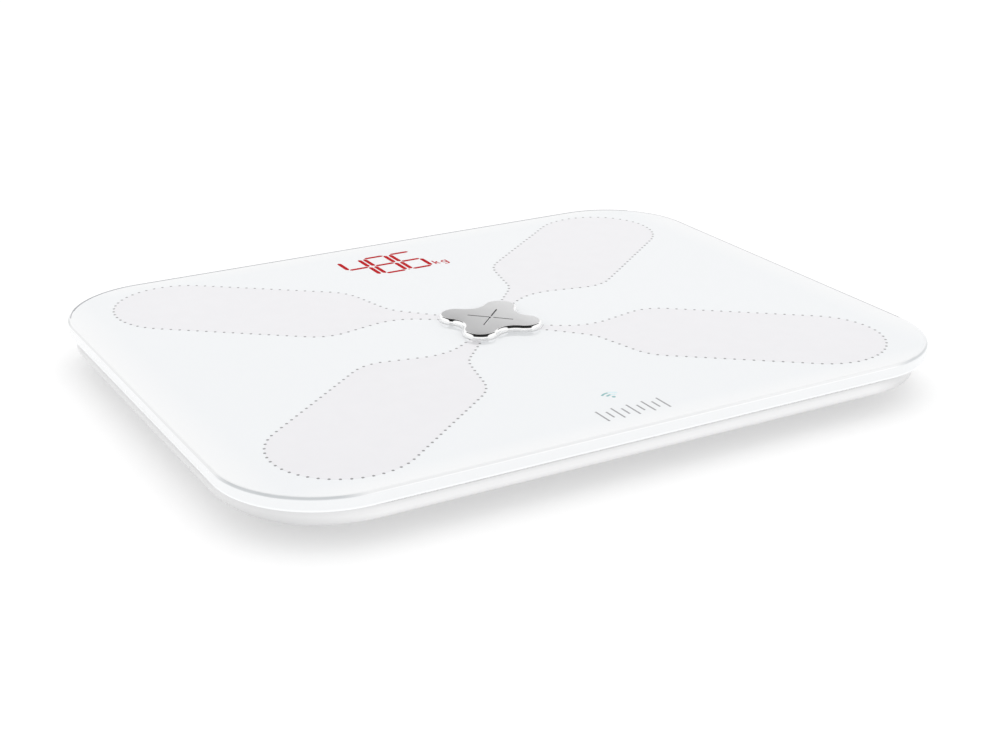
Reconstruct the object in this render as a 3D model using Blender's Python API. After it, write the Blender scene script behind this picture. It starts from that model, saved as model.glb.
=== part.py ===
"""Digital bathroom scale with a glass platform, body-composition electrodes and a chrome hub.

Frame: metres, +Z up. The origin is on the floor, under the centre of the glass. +X runs along the
long side, and +Y points away from the user, towards the display.
"""

import math

import bmesh
import bpy
from mathutils import Vector

# Driving dimensions.
PLATFORM_LENGTH = 0.330
PLATFORM_WIDTH = 0.260
PLATFORM_CORNER = 0.044
OVERALL_HEIGHT = 0.023
GLASS_THICKNESS = 0.006
TOP_BEVEL = 0.0009
BOTTOM_ARRIS = 0.0007
FIT_GAP = 0.0003
FACE_GAP = 0.0001

# Heights of the stack, from the floor up.
TRAY_BOTTOM = 0.0032
TRAY_FLOOR = 0.0052
LEDGE_BOTTOM = 0.0086
GLASS_BOTTOM = OVERALL_HEIGHT - GLASS_THICKNESS
TRAY_RIM = GLASS_BOTTOM - 0.0005

# Tray: the outer wall is a superellipse that starts under the edge of the glass.
RIM_INSET = 0.0006
RIM_CORNER = 0.054
BOWL_RUN = 0.011
BOWL_CORNER = 0.022
BOWL_POWER = 3.0
BOWL_STEPS = 6
RIM_LAND = 0.005
CORNER_STEPS = 8

# Feet and load cells.
FOOT_X = 0.114
FOOT_Y = 0.079
FOOT_RADIUS = 0.0145
FOOT_BOTTOM = 0.0017
FOOT_BOSS_TOP = 0.0074
WELL_RADIUS = 0.0155
WELL_WALL = 0.0017
WELL_TOP = 0.0080
PAD_RADIUS = 0.0123
CELL_SIDE = 0.034
CELL_BOTTOM = WELL_TOP + FACE_GAP
CELL_THICKNESS = 0.0020
CARRIER_SIDE = 0.039
CARRIER_BOTTOM = CELL_BOTTOM + CELL_THICKNESS + FACE_GAP
CARRIER_THICKNESS = 0.0030
EAR_OFFSET = 0.025
EAR_RADIUS = 0.0045
BOSS_RADIUS = 0.0035
SCREW_HOLE = 0.0015
SCREW_SHANK = 0.0012
SCREW_HEAD = 0.0026

# Battery bay: four AAA cells side by side, with their axes along Y.
BAY_Y = -0.048
CELL_AAA_RADIUS = 0.00525
CELL_AAA_LENGTH = 0.0445
CELL_AAA_PITCH = 0.011
BAY_HALF_X = 0.0226
BAY_HALF_Y = 0.02525
BAY_WALL = 0.0015
BAY_ROOF = 0.0158
BAY_TOP = 0.0167
BAY_PAD_TOP = 0.0064
DOOR_TOP = 0.0047
DOOR_HALF_X = 0.026
DOOR_FRONT = -0.07715
DOOR_BACK = -0.0195
HINGE_Y = -0.0773
HINGE_Z = 0.0043
HINGE_TAB_X = 0.015
HINGE_TAB_WIDTH = 0.006
CONTACT_THICKNESS = 0.0003

# Electronics.
BOARD_BOTTOM = 0.0110
BOARD_THICKNESS = 0.0016
BOARD_TOP = BOARD_BOTTOM + BOARD_THICKNESS
MAIN_BOARD_X = 0.030
MAIN_BOARD_Y = (0.022, 0.062)
MAIN_BOSS_X = 0.026
MAIN_BOSS_Y = (0.026, 0.058)
DISPLAY_BOARD_X = 0.033
DISPLAY_BOARD_Y = (0.080, 0.117)
DIGIT_HEIGHT = 0.028
DIGIT_WIDTH = 0.0136
DIGIT_PITCH = 0.0142
DIGIT_STROKE = 0.0018
DIGITS_LEFT = -0.0250
DIGITS_BOTTOM = 0.0840
BUTTON_X = 0.022
BUTTON_Y = 0.040
BUTTON_RADIUS = 0.0040
LEAD_RADIUS = 0.0012

# Electrodes: each petal's axis runs along the diagonal of the platform.
PETAL_ANGLE = math.radians(38.15)
PETAL_REACH = 0.1445
PETAL_RADIUS = 0.0297
FILM_THICKNESS = 0.00015
FILM_BOTTOM = OVERALL_HEIGHT + 0.00005

# Hub: a cross of four round lobes, 45 degrees from the axes, joined by hollow sides.
LOBE_OFFSET = 0.0112
LOBE_RADIUS = 0.0078
WAIST = 0.0145
HUB_BOTTOM = OVERALL_HEIGHT + 0.0003
HUB_TOP = OVERALL_HEIGHT + 0.0025
HUB_BEVEL = 0.0010
HUB_HOLE = 0.006
NUT_RADIUS = 0.0098
NUT_BOTTOM = 0.0134

CORNERS = {
    "front_left": (-1, -1),
    "front_right": (1, -1),
    "back_left": (-1, 1),
    "back_right": (1, 1),
}


def clear_scene():
    for obj in list(bpy.data.objects):
        bpy.data.objects.remove(obj)


def material(name, color, roughness, metallic=0.0, alpha=1.0):
    made = bpy.data.materials.new(name)
    made.use_nodes = True
    shader = made.node_tree.nodes["Principled BSDF"]
    shader.inputs["Base Color"].default_value = (*color, 1.0)
    shader.inputs["Roughness"].default_value = roughness
    shader.inputs["Metallic"].default_value = metallic
    shader.inputs["Alpha"].default_value = alpha
    return made


# Outlines: lists of (x, y), anticlockwise seen from above.


def arc(centre, radius, start, end, steps):
    """Points on an arc from the angle start to the angle end, both included, in degrees."""
    angles = [math.radians(start + (end - start) * i / steps) for i in range(steps + 1)]
    return [(centre[0] + radius * math.cos(a), centre[1] + radius * math.sin(a)) for a in angles]


def circle(centre, radius, sides):
    return arc(centre, radius, 0, 360 - 360 / sides, sides - 1)


def rounded_rectangle(low, high, radius, steps=CORNER_STEPS):
    (x0, y0), (x1, y1) = low, high
    points = arc((x1 - radius, y0 + radius), radius, -90, 0, steps)
    points += arc((x1 - radius, y1 - radius), radius, 0, 90, steps)
    points += arc((x0 + radius, y1 - radius), radius, 90, 180, steps)
    points += arc((x0 + radius, y0 + radius), radius, 180, 270, steps)
    return points


def platform_outline(inset, radius):
    """The rounded rectangle that lies inset from the edge of the glass."""
    x = PLATFORM_LENGTH / 2 - inset
    y = PLATFORM_WIDTH / 2 - inset
    return rounded_rectangle((-x, -y), (x, y), radius)


def rectangle(low, high):
    return [low, (high[0], low[1]), high, (low[0], high[1])]


def fillet(before, corner, after, radius, steps):
    """The corner rounded off: points along the arc that touches both of its sides."""
    corner = Vector(corner)
    into = (Vector(before) - corner).normalized()
    out = (Vector(after) - corner).normalized()
    half = into.angle(out) / 2
    centre = corner + (into + out).normalized() * radius / math.sin(half)
    start = corner + into * radius / math.tan(half) - centre
    end = corner + out * radius / math.tan(half) - centre
    turn = start.angle_signed(end)
    first = math.atan2(start.y, start.x)
    return arc(centre, radius, math.degrees(first), math.degrees(first - turn), steps)


def petal_outline():
    """One electrode, in the quadrant of +X and +Y: a wide petal on a neck that reaches the hub."""
    along = Vector((math.cos(PETAL_ANGLE), math.sin(PETAL_ANGLE)))
    across = Vector((-along.y, along.x))
    low_side = along * PETAL_REACH - across * PETAL_RADIUS
    high_side = along * PETAL_REACH + across * PETAL_RADIUS
    neck_low = (0.0133, 0.0113)
    waist_low = (0.0354, 0.0259)
    shoulder_low = (0.0715, 0.0180)
    shoulder_high = (0.0390, 0.0683)
    waist_high = (0.0319, 0.0370)
    neck_high = (0.0101, 0.0134)
    degrees = math.degrees(PETAL_ANGLE)
    points = [neck_low]
    points += fillet(neck_low, waist_low, shoulder_low, 0.028, 5)
    points += fillet(waist_low, shoulder_low, low_side, 0.020, 6)
    points += arc(along * PETAL_REACH, PETAL_RADIUS, degrees - 90, degrees + 90, 16)
    points += fillet(high_side, shoulder_high, waist_high, 0.0226, 6)
    points += fillet(shoulder_high, waist_high, neck_high, 0.020, 5)
    points.append(neck_high)
    return points


def hub_outline(inset, lobe_steps=8, waist_steps=4):
    """The cross of the hub, moved in by inset: round lobes joined by arcs that curve inwards."""
    lobe = LOBE_RADIUS - inset
    waist = WAIST - inset
    hollow = (LOBE_OFFSET**2 + (waist - LOBE_OFFSET) ** 2 - lobe**2) / (2 * (lobe - waist + LOBE_OFFSET))
    span = math.degrees(math.atan2(LOBE_OFFSET, waist + hollow - LOBE_OFFSET))
    points = []
    for quarter in range(4):
        turned = []
        turned += arc((LOBE_OFFSET, LOBE_OFFSET), lobe, span - 90, 180 - span, lobe_steps)
        side = arc((0, waist + hollow), hollow, -90 + span, -90 - span, waist_steps)
        turned += side[1:-1]
        cosine, sine = [(1, 0), (0, 1), (-1, 0), (0, -1)][quarter]
        points += [(x * cosine - y * sine, x * sine + y * cosine) for x, y in turned]
    return points


def mirrored(outline, x_sign, y_sign):
    points = [(x * x_sign, y * y_sign) for x, y in outline]
    return points if x_sign * y_sign > 0 else points[::-1]


# Solids: each adds one closed body to a bmesh.


def ring_at(outline, z):
    return [(x, y, z) for x, y in outline]


def add_loft(bm, rings):
    """Joins rings of equal length into a body, and closes its first and last ring."""
    loops = [[bm.verts.new(point) for point in ring] for ring in rings]
    count = len(rings[0])
    bm.faces.new(loops[0][::-1])
    for lower, upper in zip(loops, loops[1:]):
        for i in range(count):
            j = (i + 1) % count
            bm.faces.new((lower[i], lower[j], upper[j], upper[i]))
    bm.faces.new(loops[-1])


def add_prism(bm, outline, z0, z1):
    add_loft(bm, [ring_at(outline, z0), ring_at(outline, z1)])


def add_box(bm, low, high):
    add_prism(bm, rectangle(low[:2], high[:2]), low[2], high[2])


def add_turned(bm, centre, profile, sides):
    """A turned body: profile lists (radius, z) from its first flat end to its last."""
    add_loft(bm, [ring_at(circle(centre, radius, sides), z) for radius, z in profile])


def add_ring(bm, outer, inner, z0, z1):
    """A flat ring between two outlines with the same number of points."""
    loops = [
        [bm.verts.new(point) for point in ring_at(outline, z)]
        for outline, z in ((outer, z0), (outer, z1), (inner, z1), (inner, z0))
    ]
    count = len(outer)
    for k, loop in enumerate(loops):
        following = loops[(k + 1) % 4]
        for i in range(count):
            j = (i + 1) % count
            bm.faces.new((loop[i], loop[j], following[j], following[i]))


# Objects.


def finish_object(name, bm, look, origin=(0, 0, 0), parent=None, smooth=30):
    """Makes an object of the bmesh, which is in world space, with its origin at the given point."""
    bmesh.ops.translate(bm, verts=bm.verts, vec=-Vector(origin))
    mesh = bpy.data.meshes.new(name)
    bm.to_mesh(mesh)
    bm.free()
    if smooth:
        mesh.shade_smooth()
        mesh.set_sharp_from_angle(angle=math.radians(smooth))
    obj = bpy.data.objects.new(name, mesh)
    obj.location = origin
    if look is not None:
        mesh.materials.append(look)
    bpy.context.scene.collection.objects.link(obj)
    if parent is not None:
        obj.parent = parent
        obj.location = Vector(origin) - parent.location
    return obj


def helper(obj):
    """Keeps a cutter, or a body that is joined to another, out of renders."""
    obj.hide_render = True
    obj.display_type = "WIRE"
    return obj


def combine(obj, other, operation):
    modifier = obj.modifiers.new(other.name, "BOOLEAN")
    modifier.operation = operation
    modifier.solver = "EXACT"
    modifier.object = helper(other)


def empty(name, location):
    made = bpy.data.objects.new(name, None)
    made.location = location
    bpy.context.scene.collection.objects.link(made)
    return made


# Platform.


def make_glass(look):
    bm = bmesh.new()
    add_loft(
        bm,
        [
            ring_at(platform_outline(BOTTOM_ARRIS, PLATFORM_CORNER - BOTTOM_ARRIS), GLASS_BOTTOM),
            ring_at(platform_outline(0, PLATFORM_CORNER), GLASS_BOTTOM + BOTTOM_ARRIS),
            ring_at(platform_outline(0, PLATFORM_CORNER), OVERALL_HEIGHT - TOP_BEVEL),
            ring_at(platform_outline(TOP_BEVEL, PLATFORM_CORNER - TOP_BEVEL), OVERALL_HEIGHT),
        ],
    )
    glass = finish_object("glass_platform", bm, look)
    bm = bmesh.new()
    add_prism(bm, circle((0, 0), HUB_HOLE, 24), GLASS_BOTTOM - 0.001, OVERALL_HEIGHT + 0.001)
    combine(glass, finish_object("glass_hole", bm, None), "DIFFERENCE")


def make_electrodes(look):
    for corner, signs in CORNERS.items():
        bm = bmesh.new()
        add_prism(bm, mirrored(petal_outline(), *signs), FILM_BOTTOM, FILM_BOTTOM + FILM_THICKNESS)
        finish_object("electrode_" + corner, bm, look)


def make_adhesive_ring(look):
    """The foam tape that holds the glass on the rim of the tray."""
    edge = 0.0014
    width = 0.0030
    outer = platform_outline(RIM_INSET + edge, RIM_CORNER - edge)
    inner = platform_outline(RIM_INSET + edge + width, RIM_CORNER - edge - width)
    bm = bmesh.new()
    add_ring(bm, outer, inner, TRAY_RIM + 0.00005, GLASS_BOTTOM - 0.00005)
    finish_object("adhesive_ring", bm, look)


# Hub.


def make_hub_cap(look):
    pocket = 0.0013
    ceiling = HUB_BOTTOM + 0.0016
    shoulder = HUB_TOP - HUB_BEVEL
    rings = [
        ring_at(hub_outline(pocket), ceiling),
        ring_at(hub_outline(pocket), HUB_BOTTOM),
        ring_at(hub_outline(0), HUB_BOTTOM),
    ]
    for step in range(4):
        turn = math.radians(30 * step)
        inset = HUB_BEVEL * (1 - math.cos(turn))
        rings.append(ring_at(hub_outline(inset), shoulder + HUB_BEVEL * math.sin(turn)))
    bm = bmesh.new()
    add_loft(bm, rings)
    finish_object("hub_cap", bm, look)


def make_hub_carrier(look):
    """The insulating seat inside the cap, with a hollow threaded stem through the glass."""
    stem = 0.0055
    plate_bottom = HUB_BOTTOM + 0.00025
    bm = bmesh.new()
    add_prism(bm, hub_outline(0.0017), plate_bottom, HUB_BOTTOM + 0.0014)
    carrier = finish_object("hub_carrier", bm, look)
    bm = bmesh.new()
    add_prism(bm, circle((0, 0), stem, 20), 0.0128, plate_bottom + 0.0006)
    combine(carrier, finish_object("hub_stem", bm, look), "UNION")
    bm = bmesh.new()
    add_prism(bm, circle((0, 0), 0.003, 12), 0.012, HUB_TOP)
    combine(carrier, finish_object("hub_wire_hole", bm, look), "DIFFERENCE")


def make_hub_fixings(rubber, brass):
    washer_top = GLASS_BOTTOM - FACE_GAP
    washer_bottom = washer_top - 0.0007
    bore = 0.0058
    bm = bmesh.new()
    add_ring(bm, circle((0, 0), 0.0088, 20), circle((0, 0), bore, 20), washer_bottom, washer_top)
    finish_object("hub_gasket", bm, rubber)
    bm = bmesh.new()
    add_prism(bm, circle((0, 0), NUT_RADIUS, 6), NUT_BOTTOM, washer_bottom - FACE_GAP)
    nut = finish_object("hub_nut", bm, brass, smooth=0)
    bm = bmesh.new()
    add_prism(bm, circle((0, 0), bore, 20), 0.013, GLASS_BOTTOM)
    combine(nut, finish_object("hub_nut_bore", bm, None), "DIFFERENCE")


def make_hub_contacts(look):
    """Four flat contacts under the carrier's lobes, each on the neck of one electrode."""
    reach = 0.0176
    half_length = 0.0025
    half_width = 0.0016
    low = HUB_BOTTOM - 0.00005
    for corner, (x_sign, y_sign) in CORNERS.items():
        along = Vector((x_sign, y_sign)).normalized()
        across = Vector((-along.y, along.x))
        centre = along * reach
        points = [
            centre + along * a * half_length + across * b * half_width
            for a, b in ((-1, -1), (1, -1), (1, 1), (-1, 1))
        ]
        bm = bmesh.new()
        add_prism(bm, [tuple(point) for point in points], low, low + 0.0002)
        finish_object("hub_contact_" + corner, bm, look, smooth=0)


# Tray.


def bowl_rings():
    """The curved outer wall, from its foot on the ledge up to the rim."""
    rings = []
    depth = TRAY_RIM - LEDGE_BOTTOM
    for step in range(BOWL_STEPS, -1, -1):
        turn = math.radians(90) * step / BOWL_STEPS
        across = 1 - math.cos(turn) ** (2 / BOWL_POWER) if step < BOWL_STEPS else 1.0
        down = math.sin(turn) ** (2 / BOWL_POWER) if step else 0.0
        radius = RIM_CORNER + (BOWL_CORNER - RIM_CORNER) * across
        rings.append(ring_at(platform_outline(RIM_INSET + BOWL_RUN * across, radius), TRAY_RIM - depth * down))
    return rings


def tray_shell():
    rings = [
        ring_at(platform_outline(0.030, 0.019), TRAY_BOTTOM),
        ring_at(platform_outline(0.016, 0.0205), LEDGE_BOTTOM - 0.0002),
    ]
    rings += bowl_rings()
    inner = RIM_INSET + RIM_LAND
    rings += [
        ring_at(platform_outline(inner, RIM_CORNER - RIM_LAND), TRAY_RIM),
        ring_at(platform_outline(inner, RIM_CORNER - RIM_LAND - 0.002), 0.0122),
        ring_at(platform_outline(0.0085, 0.034), 0.0108),
        ring_at(platform_outline(0.0175, 0.0265), 0.0104),
        ring_at(platform_outline(0.0315, 0.0225), TRAY_FLOOR),
    ]
    bm = bmesh.new()
    add_loft(bm, rings)
    return bm


def ear_centre(x_sign, y_sign):
    return (x_sign * FOOT_X, y_sign * (FOOT_Y - EAR_OFFSET))


def board_boss_centres():
    return [(side * MAIN_BOSS_X, y) for y in MAIN_BOSS_Y for side in (-1, 1)]


def tray_features():
    """What stands on the tray's floor: foot wells, bosses, stiffening ribs, and the battery bay."""
    root = TRAY_FLOOR - 0.0010
    bm = bmesh.new()
    for x_sign, y_sign in CORNERS.values():
        centre = (x_sign * FOOT_X, y_sign * FOOT_Y)
        add_prism(bm, circle(centre, WELL_RADIUS + WELL_WALL, 24), root, WELL_TOP)
        add_prism(bm, circle(ear_centre(x_sign, y_sign), BOSS_RADIUS, 10), root, CARRIER_BOTTOM - FACE_GAP)
        rib_y = y_sign * 0.034
        rib_start, rib_end = sorted((x_sign * 0.042, x_sign * 0.098))
        add_box(bm, (rib_start, rib_y - 0.0008, root), (rib_end, rib_y + 0.0008, 0.0066))
    for x, y in board_boss_centres() + [(-0.029, 0.0845), (0.029, 0.0845)]:
        add_prism(bm, circle((x, y), BOSS_RADIUS - 0.0006, 10), root, BOARD_BOTTOM - FACE_GAP)
    return bm


def bay_block():
    """The solid that the battery bay is cut out of: a thick pad with a box on it."""
    root = TRAY_FLOOR - 0.0010
    wall_x = BAY_HALF_X + BAY_WALL
    wall_y = BAY_HALF_Y + BAY_WALL
    rings = [
        ring_at(rectangle((-0.029, -0.0805), (0.029, -0.0165)), root),
        ring_at(rectangle((-0.029, -0.0805), (0.029, -0.0165)), BAY_PAD_TOP),
        ring_at(rectangle((-wall_x, BAY_Y - wall_y), (wall_x, BAY_Y + wall_y)), BAY_PAD_TOP),
        ring_at(rectangle((-wall_x, BAY_Y - wall_y), (wall_x, BAY_Y + wall_y)), BAY_TOP),
    ]
    bm = bmesh.new()
    add_loft(bm, rings)
    return bm


def tray_round_cutters():
    bm = bmesh.new()
    for x_sign, y_sign in CORNERS.values():
        centre = (x_sign * FOOT_X, y_sign * FOOT_Y)
        add_prism(bm, circle(centre, WELL_RADIUS, 24), 0.002, WELL_TOP + 0.001)
        add_prism(bm, circle(ear_centre(x_sign, y_sign), SCREW_HOLE, 8), 0.0062, 0.011)
    add_prism(bm, circle(board_boss_centres()[0], SCREW_HOLE, 8), 0.0062, 0.012)
    add_prism(bm, circle((BUTTON_X, BUTTON_Y), BUTTON_RADIUS + FIT_GAP, 16), 0.002, 0.006)
    return bm


def bay_cutter():
    """The cells' space, open downwards."""
    bm = bmesh.new()
    add_box(bm, (-BAY_HALF_X, BAY_Y - BAY_HALF_Y, 0.0040), (BAY_HALF_X, BAY_Y + BAY_HALF_Y, BAY_ROOF))
    return bm


def door_recess():
    """The recess that the door closes."""
    bm = bmesh.new()
    side = DOOR_HALF_X + FIT_GAP
    outline = rounded_rectangle((-side, HINGE_Y), (side, DOOR_BACK + FIT_GAP), 0.0020, 3)
    add_prism(bm, outline, 0.002, DOOR_TOP + FACE_GAP)
    return bm


def finger_scoop():
    """A shallow scoop for the fingertip at the door's latch."""
    bm = bmesh.new()
    add_prism(bm, circle((0, DOOR_BACK + 0.0005), 0.0085, 16), 0.002, 0.0040)
    return bm


def door_slots():
    """Slots for the door's two hinge tabs and for its latch, open to the inside of the tray."""
    bm = bmesh.new()
    half = HINGE_TAB_WIDTH / 2 + 0.0006
    for side in (-1, 1):
        add_box(bm, (side * HINGE_TAB_X - half, -0.0799, 0.0042), (side * HINGE_TAB_X + half, -0.0720, 0.0070))
    add_box(bm, (-0.0070, -0.0212, 0.0041), (0.0070, DOOR_BACK + 0.0002, 0.0070))
    return bm


def make_tray(look):
    tray = finish_object("base_shell", tray_shell(), look)
    additions = (("tray_features", tray_features()), ("bay_block", bay_block()))
    for name, bm in additions:
        combine(tray, finish_object(name, bm, None), "UNION")
    cuts = (
        ("tray_round_cutters", tray_round_cutters()),
        ("bay_cutter", bay_cutter()),
        ("door_recess", door_recess()),
        ("finger_scoop", finger_scoop()),
        ("door_slots", door_slots()),
    )
    for name, bm in cuts:
        combine(tray, finish_object(name, bm, None), "DIFFERENCE")


# Feet, load cells and their carriers.


def make_foot(corner, signs, plastic, rubber):
    """The foot and its pad, on an empty that slides up and down with them."""
    centre = (signs[0] * FOOT_X, signs[1] * FOOT_Y)
    carriage = empty("foot_carriage_" + corner, (*centre, FOOT_BOTTOM))
    recess = PAD_RADIUS + 0.0003
    bm = bmesh.new()
    add_turned(
        bm,
        centre,
        [
            (recess, FOOT_BOTTOM + 0.0006),
            (recess, FOOT_BOTTOM),
            (FOOT_RADIUS - 0.0005, FOOT_BOTTOM),
            (FOOT_RADIUS, FOOT_BOTTOM + 0.0005),
            (FOOT_RADIUS, 0.0050),
            (0.0050, 0.0054),
            (0.0050, FOOT_BOSS_TOP),
        ],
        20,
    )
    finish_object("foot_" + corner, bm, plastic, origin=(*centre, FOOT_BOTTOM), parent=carriage)
    bm = bmesh.new()
    add_turned(bm, centre, [(PAD_RADIUS - 0.0006, 0), (PAD_RADIUS, 0.0006), (PAD_RADIUS, 0.0020)], 20)
    finish_object("foot_pad_" + corner, bm, rubber, origin=(*centre, FOOT_BOTTOM), parent=carriage)


def make_load_cell(corner, signs, look):
    """A steel plate whose middle tongue is freed by a slot on three sides."""
    x, y = signs[0] * FOOT_X, signs[1] * FOOT_Y
    half = CELL_SIDE / 2
    bm = bmesh.new()
    outline = rounded_rectangle((x - half, y - half), (x + half, y + half), 0.003, 2)
    add_prism(bm, outline, CELL_BOTTOM, CELL_BOTTOM + CELL_THICKNESS)
    plate = finish_object("load_cell_" + corner, bm, look)
    outer = 0.0115
    inner = 0.0085
    slot = [
        (-outer, -outer), (outer, -outer), (outer, outer), (inner, outer),
        (inner, -inner), (-inner, -inner), (-inner, outer), (-outer, outer),
    ]
    slot = mirrored(slot, 1, -signs[0] * signs[1])
    bm = bmesh.new()
    low, high = CELL_BOTTOM - 0.001, CELL_BOTTOM + CELL_THICKNESS + 0.001
    add_prism(bm, [(x + a, y + b) for a, b in slot], low, high)
    combine(plate, finish_object("cell_slot_" + corner, bm, None), "DIFFERENCE")


def make_carrier(corner, signs, look):
    """The frame that clamps the load cell's edge, with an ear for its screw."""
    x, y = signs[0] * FOOT_X, signs[1] * FOOT_Y
    half = CARRIER_SIDE / 2
    top = CARRIER_BOTTOM + CARRIER_THICKNESS
    bm = bmesh.new()
    add_prism(bm, rounded_rectangle((x - half, y - half), (x + half, y + half), 0.006, 3), CARRIER_BOTTOM, top)
    carrier = finish_object("cell_carrier_" + corner, bm, look)
    ear = ear_centre(*signs)
    neck_end = y - signs[1] * (half - 0.001)
    neck = [(x + signs[1] * EAR_RADIUS, neck_end), (x - signs[1] * EAR_RADIUS, neck_end)]
    first = 0 if signs[1] < 0 else 180
    bm = bmesh.new()
    add_prism(bm, neck + arc(ear, EAR_RADIUS, first, first + 180, 8), CARRIER_BOTTOM + 0.00005, top - 0.0004)
    combine(carrier, finish_object("carrier_ear_" + corner, bm, None), "UNION")
    window = 0.0125
    bm = bmesh.new()
    add_prism(bm, rounded_rectangle((x - window, y - window), (x + window, y + window), 0.003, 2), 0.009, 0.015)
    add_prism(bm, circle(ear, SCREW_SHANK + FIT_GAP, 8), 0.009, 0.015)
    combine(carrier, finish_object("carrier_cuts_" + corner, bm, None), "DIFFERENCE")


def add_screw(bm, centre, tip, seat):
    """A self-tapping screw: a plain shank with a pointed tip, and a domed head on its seat."""
    head = seat + FACE_GAP
    add_turned(
        bm,
        centre,
        [
            (0.0004, tip),
            (SCREW_SHANK, tip + 0.0012),
            (SCREW_SHANK, head),
            (SCREW_HEAD, head),
            (SCREW_HEAD, head + 0.0008),
            (0.0016, head + 0.0015),
        ],
        10,
    )


def make_carrier_screw(corner, signs, look):
    bm = bmesh.new()
    add_screw(bm, ear_centre(*signs), 0.0066, CARRIER_BOTTOM + CARRIER_THICKNESS - 0.0004)
    finish_object("carrier_screw_" + corner, bm, look)


def make_corner_sets(plastic, foot_plastic, rubber, steel, zinc):
    for corner, signs in CORNERS.items():
        make_foot(corner, signs, foot_plastic, rubber)
        make_load_cell(corner, signs, steel)
        make_carrier(corner, signs, plastic)
        make_carrier_screw(corner, signs, zinc)


# Battery bay.


def make_door(look):
    """The battery door, with its origin on the hinge line at its front edge."""
    hinge = (0, HINGE_Y, HINGE_Z)
    bevel = HINGE_Z - TRAY_BOTTOM
    low, high = (-DOOR_HALF_X, DOOR_FRONT), (DOOR_HALF_X, DOOR_BACK)
    bm = bmesh.new()
    add_loft(
        bm,
        [
            ring_at(rounded_rectangle((low[0], low[1] + bevel + 0.00005), high, 0.0018, 3), TRAY_BOTTOM),
            ring_at(rounded_rectangle(low, high, 0.0018, 3), HINGE_Z),
            ring_at(rounded_rectangle(low, high, 0.0018, 3), DOOR_TOP),
        ],
    )
    door = finish_object("battery_door", bm, look, origin=hinge)
    half = HINGE_TAB_WIDTH / 2
    bm = bmesh.new()
    for side in (-1, 1):
        add_box(bm, (side * HINGE_TAB_X - half, -0.0793, 0.00435), (side * HINGE_TAB_X + half, -0.0738, 0.00515))
    add_box(bm, (-0.0060, -0.0207, 0.0043), (0.0060, -0.0198, 0.0061))
    combine(door, finish_object("door_tabs", bm, None), "UNION")


def cell_centre(index):
    return ((index - 1.5) * CELL_AAA_PITCH, DOOR_TOP + FIT_GAP + CELL_AAA_RADIUS)


def along_y(bm, centre_x, centre_z, direction):
    """Turns a body made round the Z axis so that its axis runs along Y through the given point."""
    for vert in bm.verts:
        x, y, z = vert.co
        vert.co = (centre_x + x, direction * z, centre_z + y * -direction)


def make_cells(look):
    """AAA cells, alternately turned: even ones have their button at the front."""
    front = BAY_Y - BAY_HALF_Y + 0.0013
    back = BAY_Y + BAY_HALF_Y - 0.0013
    for index in range(4):
        x, z = cell_centre(index)
        direction = -1 if index % 2 == 0 else 1
        tip = -front if direction < 0 else back
        body = tip - 0.0009
        start = tip - CELL_AAA_LENGTH
        bm = bmesh.new()
        radius = CELL_AAA_RADIUS
        profile = [
            (radius - 0.0005, start),
            (radius, start + 0.0005),
            (radius, body - 0.0005),
            (radius - 0.0005, body),
            (0.0019, body),
            (0.0019, tip),
        ]
        add_turned(bm, (0, 0), profile, 16)
        along_y(bm, x, z, direction)
        finish_object(f"battery_{index + 1}", bm, look)


def spring_path(x, z, seat, direction):
    """A conical coil from its seat on a contact plate to the flat end of a cell."""
    turns = 3
    steps = 10
    length = 0.0035
    path = []
    for step in range(turns * steps + 1):
        share = step / (turns * steps)
        angle = 2 * math.pi * step / steps
        radius = 0.0036 - 0.0014 * share
        y = seat + direction * length * share
        path.append(Vector((x + radius * math.cos(angle), y, z + radius * math.sin(angle))))
    return path


def add_spring(bm, x, z, seat, direction):
    """The coil's rings lie in planes through the axis of the coil."""
    wire = 0.0003
    sides = 5
    path = spring_path(x, z, seat, direction)
    rings = []
    for point in path:
        outward = Vector((point.x - x, 0, point.z - z)).normalized()
        ring = []
        for k in range(sides):
            angle = 2 * math.pi * k / sides
            ring.append(point + outward * wire * math.cos(angle) + Vector((0, wire * math.sin(angle), 0)))
        rings.append(ring)
    add_loft(bm, rings)


def make_contact(name, cells, end, look):
    """A contact plate on one end wall (end -1 at the front), with a coil for each flat cell end."""
    wall = BAY_Y + end * (BAY_HALF_Y - FACE_GAP)
    face = wall - end * CONTACT_THICKNESS
    centres = [cell_centre(index) for index in cells]
    z = centres[0][1]
    half = 0.0040
    bm = bmesh.new()
    near, far = sorted((wall, face))
    add_box(bm, (centres[0][0] - half, near, z - half), (centres[-1][0] + half, far, z + half))
    plate = finish_object(name, bm, look, smooth=0)
    for index, (x, _) in zip(cells, centres):
        button_end = -1 if index % 2 == 0 else 1
        if button_end == end:
            continue
        bm = bmesh.new()
        add_spring(bm, x, z, face, -end)
        bmesh.ops.recalc_face_normals(bm, faces=bm.faces)
        combine(plate, finish_object(f"{name}_coil_{index + 1}", bm, look), "UNION")


def make_contacts(look):
    make_contact("battery_contact_1", (0, 1), -1, look)
    make_contact("battery_contact_2", (2, 3), -1, look)
    make_contact("battery_contact_3", (0,), 1, look)
    make_contact("battery_contact_4", (1, 2), 1, look)
    make_contact("battery_contact_5", (3,), 1, look)


# Electronics.


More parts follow.
